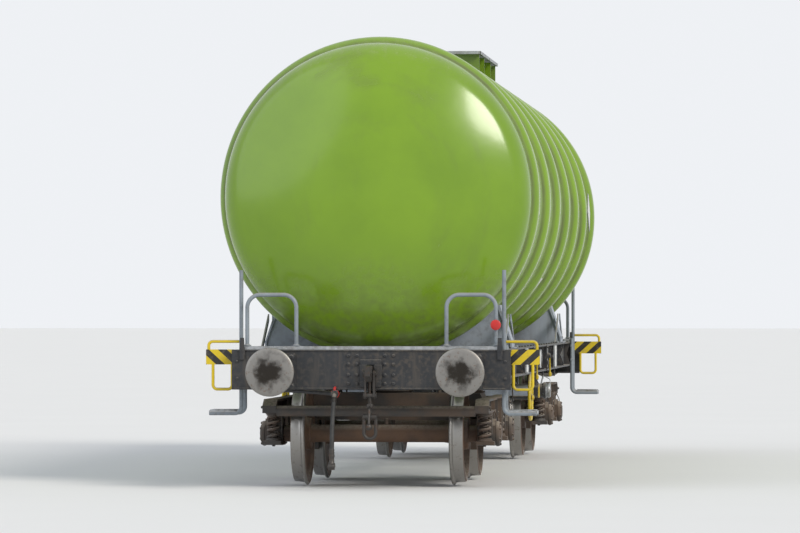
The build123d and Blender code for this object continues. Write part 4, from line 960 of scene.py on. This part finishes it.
def add_axle_fittings(parts, rubbed, x, side):
    """Axlebox cover, spring seats, guides with their liners, and the hanging strap at one journal."""
    out = Y * side
    cover = [(-0.035, 0.1135), (-0.03, 0.119), (-0.012, 0.119), (0, 0.112)]
    cover += [(0.006, 0.085), (0.014, 0.08), (0.02, 0.05), (0.021, 0)]
    face = at(x, side * 1.13, axle_z)
    parts.lathe(cover, face, out, 40)
    parts.bolts([face + spoke * 0.097 for spoke in spokes(6, X, Z, 0.5)], out, 0.011)
    for shift in SIDES:
        seat = at(x + shift * spring_reach, side * spring_y, 0)
        parts.lathe([(0, 0.076), (0.014, 0.076), (0.016, 0.07), (0.03, 0.068)], seat + Z * 0.418, Z, 28)
        parts.lathe([(0, 0.078), (0.016, 0.078), (0.018, 0.07), (0.032, 0.068)], seat + Z * 0.692, -Z, 28)
        parts.bolt(seat + Z * 0.39, -Z, 0.014)
        guide = at(x + shift * 0.127, side * spring_y, 0.58)
        rubbed.box(guide, (0.006, 0.136, 0.2), chamfer=0.001)
        for up in (-0.06, 0.06):
            parts.bolt(guide + at(shift * 0.005, side * 0.045, up), X * shift, 0.008)
    strap = ((0.16, 1.068, 0.7), (0.2, 1.1, 0.63), (0.17, 1.11, 0.56), (0.118, 1.09, 0.54))
    parts.tube([(x + along, side * y, z) for along, y, z in strap], 0.005, 0.03, 8)


def add_side_frame_fittings(parts, rubbed, middle, side):
    """Bolts, rimmed holes, the middle boss and the side bearer's pad on one side of a bogie."""
    out = Y * side
    outer_y = side * 1.066
    web_y = side * 1.014
    parts.bolts(line(at(middle - 0.32, outer_y, 0.81), X * 0.16, 5), out, 0.008, False)
    for shift in SIDES:
        parts.bolts([(middle + shift * reach, outer_y, 0.745) for reach in (1.39, 1.43)], out, 0.011)
        rim = [(0, 0.02), (0.008, 0.02), (0.008, 0.034), (0, 0.034)]
        parts.lathe(rim, (middle + shift * half_wheelbase, web_y, 0.755), out, 24, True)
        for reach, height in ((0.33, 0.54), (0.12, 0.51)):
            parts.bolt((middle + shift * reach, web_y, height), out, 0.012)
    boss = at(middle, side * 1.013, 0.6)
    parts.lathe([(0, 0.1), (0.01, 0.11), (0.03, 0.11), (0.034, 0.05)], boss, out, 36)
    parts.bolts([boss + out * 0.03 + spoke * 0.085 for spoke in spokes(6, X, Z)], out, 0.009, False)
    pad = at(middle, side * 0.85, 0.951)
    rubbed.box(pad, (0.24, 0.08, 0.008), chamfer=0.002)
    for shift in SIDES:
        parts.bolt(pad + at(shift * 0.1, side * 0.055, -0.09), Z, 0.012)
    parts.bolts(line(at(middle - 0.24, side * 0.5, 0.861), X * 0.16, 4), Z, 0.014)


def make_bogies():
    """Covers, bolts, liners, straps, pads and brake pins on each bogie."""
    for end_name, end in ENDS.items():
        middle = end * bogie_pivot
        parts = Shape()
        rubbed = Shape()
        for axle, side in product(SIDES, repeat=2):
            add_axle_fittings(parts, rubbed, middle + axle * half_wheelbase, side)
        for side in SIDES:
            add_side_frame_fittings(parts, rubbed, middle, side)
        for shift in SIDES:
            beam_x = middle + shift * 0.357
            parts.rod((beam_x, 0, 0.47), (beam_x, 0, 0.62), 0.02)
            for side in SIDES:
                # Each pin's two ends across the bogie, its height and its radius
                for first, last, height, radius in (
                    (0.7, 0.66, 0.44, 0.024),
                    (0.8, 0.826, 0.44, 0.02),
                    (0.664, 0.71, 0.7, 0.018),
                ):
                    parts.rod((beam_x, side * first, height), (beam_x, side * last, height), radius, 16)
                parts.box((beam_x + shift * 0.03, side * 0.774, 0.45), (0.05, 0.05, 0.17))
        bowl = [(0, 0.206), (0.012, 0.216), (0.02, 0.232), (0.022, 0.206)]
        parts.lathe(bowl, (middle, 0, 0.86), Z, 48, True)
        put(f"bogie_fittings_{end_name}", parts, bogie_cast, f"bogie_{end_name}")
        put(f"bogie_wear_plates_{end_name}", rubbed, greased, f"bogie_{end_name}")


def make_brake_rigging():
    """Bands, pipes, valve, slack adjuster, pull rods and guides under the frame."""
    gear = Shape()
    reservoir = at(1.92, -0.62, 0.79)
    for shift in (-0.302, 0.302):
        band = arc(reservoir + X * shift, Y * 0.194, Z * 0.194, -180, 140, 32)
        gear.sweep(band, [0.007] * len(band), 6)
        gear.bolt(reservoir + at(shift, 0, -0.204), -Z, 0.01)
    gear.rod(reservoir - Z * 0.18, reservoir - Z * 0.225, 0.016)
    gear.box(reservoir - Z * 0.215, (0.05, 0.022, 0.03))
    gear.lathe([(0, 0.02), (0, 0.03), (0.03, 0.03), (0.034, 0.02)], reservoir - X * 0.544, -X, 18)
    gear.tube([(1.38, -0.62, 0.79), (1.3, -0.62, 0.79), (1.3, -0.25, 0.95), (-1.1, -0.25, 0.95)], 0.014, 0.06)
    gear.tube([(2.46, -0.62, 0.79), (2.52, -0.62, 0.79), (2.52, 1.12, 0.96), (2.52, 1.16, 0.93)], 0.014, 0.05)

    valve = at(-0.78, -0.25, 0.9)
    gear.box(valve, (0.22, 0.16, 0.2), chamfer=0.02)
    dome = [(0, 0.07), (0.012, 0.078), (0.03, 0.078), (0.06, 0.06), (0.075, 0.03), (0.078, 0)]
    for shift in SIDES:
        gear.lathe(dome, valve + X * shift * 0.1, X * shift, 28)
    gear.bolts(corners(valve - Y * 0.08, X * 0.07, Z * 0.07), -Y, 0.01)
    gear.box(valve + Z * 0.11, (0.26, 0.3, 0.02))
    gear.rod(valve + at(0.08, 0.12, 0.1), valve + at(0.08, 0.12, 0.118), 0.02)
    for hanger in corners(valve + Z * 0.095, X * 0.07, Y * 0.12):
        gear.rod(hanger, hanger + Z * 0.205, 0.012)
    gear.box(valve + Z * 0.305, (0.3, 0.32, 0.012))

    cylinder_z = 0.8
    pull_z = 0.59
    rod_end_z = 0.66
    lever_x = -0.63
    for spoke in spokes(8, Y, Z, 0.5):
        gear.bolt(at(-1.116, 0, cylinder_z) + spoke * 0.19, X, 0.012)
        gear.bolt(at(-1.58, 0, cylinder_z) + spoke * 0.19, -X, 0.012)
    gear.rod((-0.78, 0, cylinder_z), (-0.62, 0, cylinder_z), 0.03)
    gear.plate([(-0.66, 0, 0.86), (-0.6, 0, 0.86), (-0.58, 0, 0.55), (-0.68, 0, 0.55)], (0, 0.03, 0))
    for height in (cylinder_z, pull_z):
        gear.rod((lever_x, -0.035, height), (lever_x, 0.035, height), 0.02)
    adjuster = [(0, 0.018), (0.05, 0.03), (0.06, 0.045), (0.62, 0.045)]
    adjuster += [(0.63, 0.036), (0.8, 0.036), (0.81, 0.02)]
    gear.lathe(adjuster, (-0.6, 0, pull_z), X, 24)
    for start, end in ((0.2, 3.35), (-0.66, -3.35)):
        gear.rod((start, 0, pull_z), (end, 0, rod_end_z), 0.016)
        gear.box((end, 0, rod_end_z), (0.09, 0.05, 0.06), chamfer=0.01)
        gear.rod((end, -0.04, rod_end_z), (end, 0.04, rod_end_z), 0.014)
    for x, height in ((-2.82, 0.6485), (2.82, 0.6485), (0, pull_z)):
        for side in SIDES:
            gear.rod((x, side * 0.05, height - 0.03), (x, side * 0.05, 1.012), 0.008)
        gear.rod((x, -0.05, height - 0.024), (x, 0.05, height - 0.024), 0.008)
    put("brake_rigging", gear, frame_dark)


def make_outlets():
    """Flange bolts, blind caps with their straps, and valve handles on the outlet pipe."""
    outlet = Shape()
    pipe = at(0.75, 0, 0.8)
    cap_profile = [(-0.02, 0.0745), (-0.016, 0.078), (-0.006, 0.078)]
    cap_profile += [(0, 0.074), (0.008, 0.04), (0.009, 0)]
    for side in SIDES:
        out = Y * side
        for y, spoke in product((1.072, 1.206), spokes(8, X, Z, 0.5)):
            place = pipe + out * y + spoke * 0.079
            outlet.rod(place - out * 0.018, place + out * 0.018, 0.006, 6)
        cap = pipe + out * 1.262
        outlet.lathe(cap_profile, cap, out, 36)
        for turn in (0, pi / 2):
            outlet.box(cap + out * 0.002, (0.02, 0.012, 0.14), Matrix.Rotation(turn, 3, "Y"))
        outlet.tube(path_from(cap, (0, 0, 0.07), (0.03, 0, 0.12), (0.05, -side * 0.08, 0.16)), 0.004, 0.03, 8)
        stem = pipe + at(0.148, side * 1.139, 0)
        outlet.lathe([(-0.05, 0.0245), (-0.046, 0.032), (-0.02, 0.032), (-0.016, 0.0245)], stem, X, 20)
        outlet.tube(path_from(stem, (0.002, 0, 0), (0.03, 0, 0), (0.034, side * 0.04, 0.16)), 0.009, 0.02)
    outlet.bolts([at(pipe.x, 0, 1.218) + spoke * 0.12 for spoke in spokes(12, X, Y)], -Z, 0.01)
    put("outlet_fittings", outlet, zinc)


def make_handwheels():
    """Hand brake wheels with a notched rim, four spokes and a hub cap, one on each side."""
    wheels = Shape()
    hub_cap = [(0, 0.034), (0.006, 0.034), (0.01, 0.024), (0.02, 0.022), (0.024, 0)]
    reach = 0.22
    steps = 96
    radii = [0.0155 + 0.0012 * cos(pi / 2 * step) for step in range(steps + 1)]
    for side in SIDES:
        middle = at(-2.2, side * 1.24, 0.78)
        wheels.lathe(hub_cap, middle + Y * side * 0.014, Y * side, 24)
        wheels.sweep(arc(middle, X * reach, Z * reach, 0, 360, steps), radii, 12)
        for spoke in spokes(4, X, Z, 0.5):
            wheels.rod(middle + spoke * 0.03, middle + spoke * 0.215, 0.0102, 10)
    put("handwheel_rims", wheels, yellow)


def make_levers():
    """Changeover levers on both side sills, and the release rod with a pull handle at each side."""
    backs = Shape()
    handles = Shape()
    hub = [(0, 0.032), (0.012, 0.032), (0.016, 0.024), (0.032, 0.022), (0.036, 0)]
    grip = [(-0.03, 0), (-0.028, 0.008), (-0.018, 0.015), (0, 0.018)]
    grip += [(0.018, 0.015), (0.028, 0.008), (0.03, 0)]
    release_x = -0.78
    release_z = 0.885
    inner_ends = {-1: 0.325, 1: 0.175}
    for side in SIDES:
        out = Y * side
        for x in (-1.2, 1.05):
            pivot = at(x, side * 1.218, 1.17)
            backs.box((x, side * 1.2145, 1.15), (0.22, 0.008, 0.262), chamfer=0.003)
            backs.bolts(corners(pivot - Z * 0.02, X * 0.085, Z * 0.11), out, 0.008)
            backs.lathe(hub, pivot, out, 20)
            backs.tube(arc(pivot + out * 0.004, X * 0.094, Z * 0.094, 215, 325, 12), 0.007, segments=8)
            start = pivot + out * 0.022
            end = start + at(0.075, 0, -0.2)
            handles.rod(start, end, 0.008, 10)
            handles.lathe(grip, end, end - start, 16)
        pull = at(release_x, side * 1.235, release_z)
        backs.rod((release_x, -inner_ends[side], release_z), pull, 0.008, 8)
        backs.box((release_x, side * 1.2, 0.945), (0.012, 0.018, 0.134), chamfer=0.002)
        loop = ((0, 0.006), (0.05, -0.03), (0.05, -0.13), (-0.05, -0.13), (-0.05, -0.03), (0, 0.006))
        handles.tube([pull + at(across, 0, up) for across, up in loop], 0.007, 0.02, 8)
    put("lever_plates", backs, frame_dark)
    put("lever_handles", handles, yellow)


def make_stage():
    """Pale floor, soft lights and the long-lens camera beside the track."""
    floor = Shape()
    floor.plate(corners(Z * -0.0205, Y * 400, X * 400), Z * 0.02)
    pale = Finish("studio_floor", 0.85)
    pale.give("Base Color", pale.layers((0.8, 0.8, 0.79), (pale.noise(0.4, 3), (0.77, 0.77, 0.76))))
    mesh = bpy.data.meshes.new("studio_floor")
    mesh.from_pydata(floor.points, [], floor.faces)
    mesh.materials.append(pale.material)
    show("studio_floor", mesh)

    # Rays from the camera, and mirrored or passed on by a surface, see the pale backdrop
    world = bpy.data.worlds.new("studio")
    bpy.context.scene.world = world
    world.use_nodes = True
    tree = world.node_tree
    light = tree.nodes["Background"]
    light.inputs["Color"].default_value = (0.86, 0.91, 1.0, 1)
    light.inputs["Strength"].default_value = 0.55
    seen = add_node(tree, "ShaderNodeBackground", {"Color": (0.86, 0.88, 0.91), "Strength": 1.0}, 0)
    seen_by = add_node(tree, "ShaderNodeLightPath", {}, "Is Camera Ray")
    for ray in ("Is Glossy Ray", "Is Transmission Ray"):
        either = {0: seen_by, 1: add_node(tree, "ShaderNodeLightPath", {}, ray)}
        seen_by = add_node(tree, "ShaderNodeMath", either, "Value", operation="MAXIMUM")
    blend = add_node(tree, "ShaderNodeMixShader", {0: seen_by, 1: light.outputs["Background"], 2: seen}, 0)
    tree.links.new(blend, tree.nodes["World Output"].inputs["Surface"])

    for name, energy, spread, colour, direction in (
        ("key_light", 2.3, 24, (1.0, 0.95, 0.86), (0.62, 0.72, -0.62)),
        ("fill_light", 0.7, 60, (0.9, 0.95, 1.0), (0.5, -0.7, -0.5)),
    ):
        lamp = bpy.data.lights.new(name, "SUN")
        lamp.energy = energy
        lamp.angle = radians(spread)
        lamp.color = colour
        show(name, lamp).rotation_euler = Vector(direction).to_track_quat("-Z", "Y").to_euler()

    lens = bpy.data.cameras.new("camera")
    lens.sensor_width = 36
    lens.lens = 214
    lens.clip_end = 1000
    camera = show("camera", lens)
    camera.location = at(-50.0, -4.25, 1.65)
    target = at(-5.18, -0.19, 2.07)
    camera.rotation_euler = (target - camera.location).to_track_quat("-Z", "Y").to_euler()
    bpy.context.scene.camera = camera
    bpy.context.scene.view_settings.view_transform = "Standard"


make_tank()
make_walkways()
make_wheels()
make_springs()
make_buffers()
make_couplings()
make_hoses()
make_manhole()
make_frame_fixings()
make_saddle_gussets()
make_rail_feet()
make_steps()
make_signs()
make_bogies()
make_brake_rigging()
make_outlets()
make_handwheels()
make_levers()
make_stage()
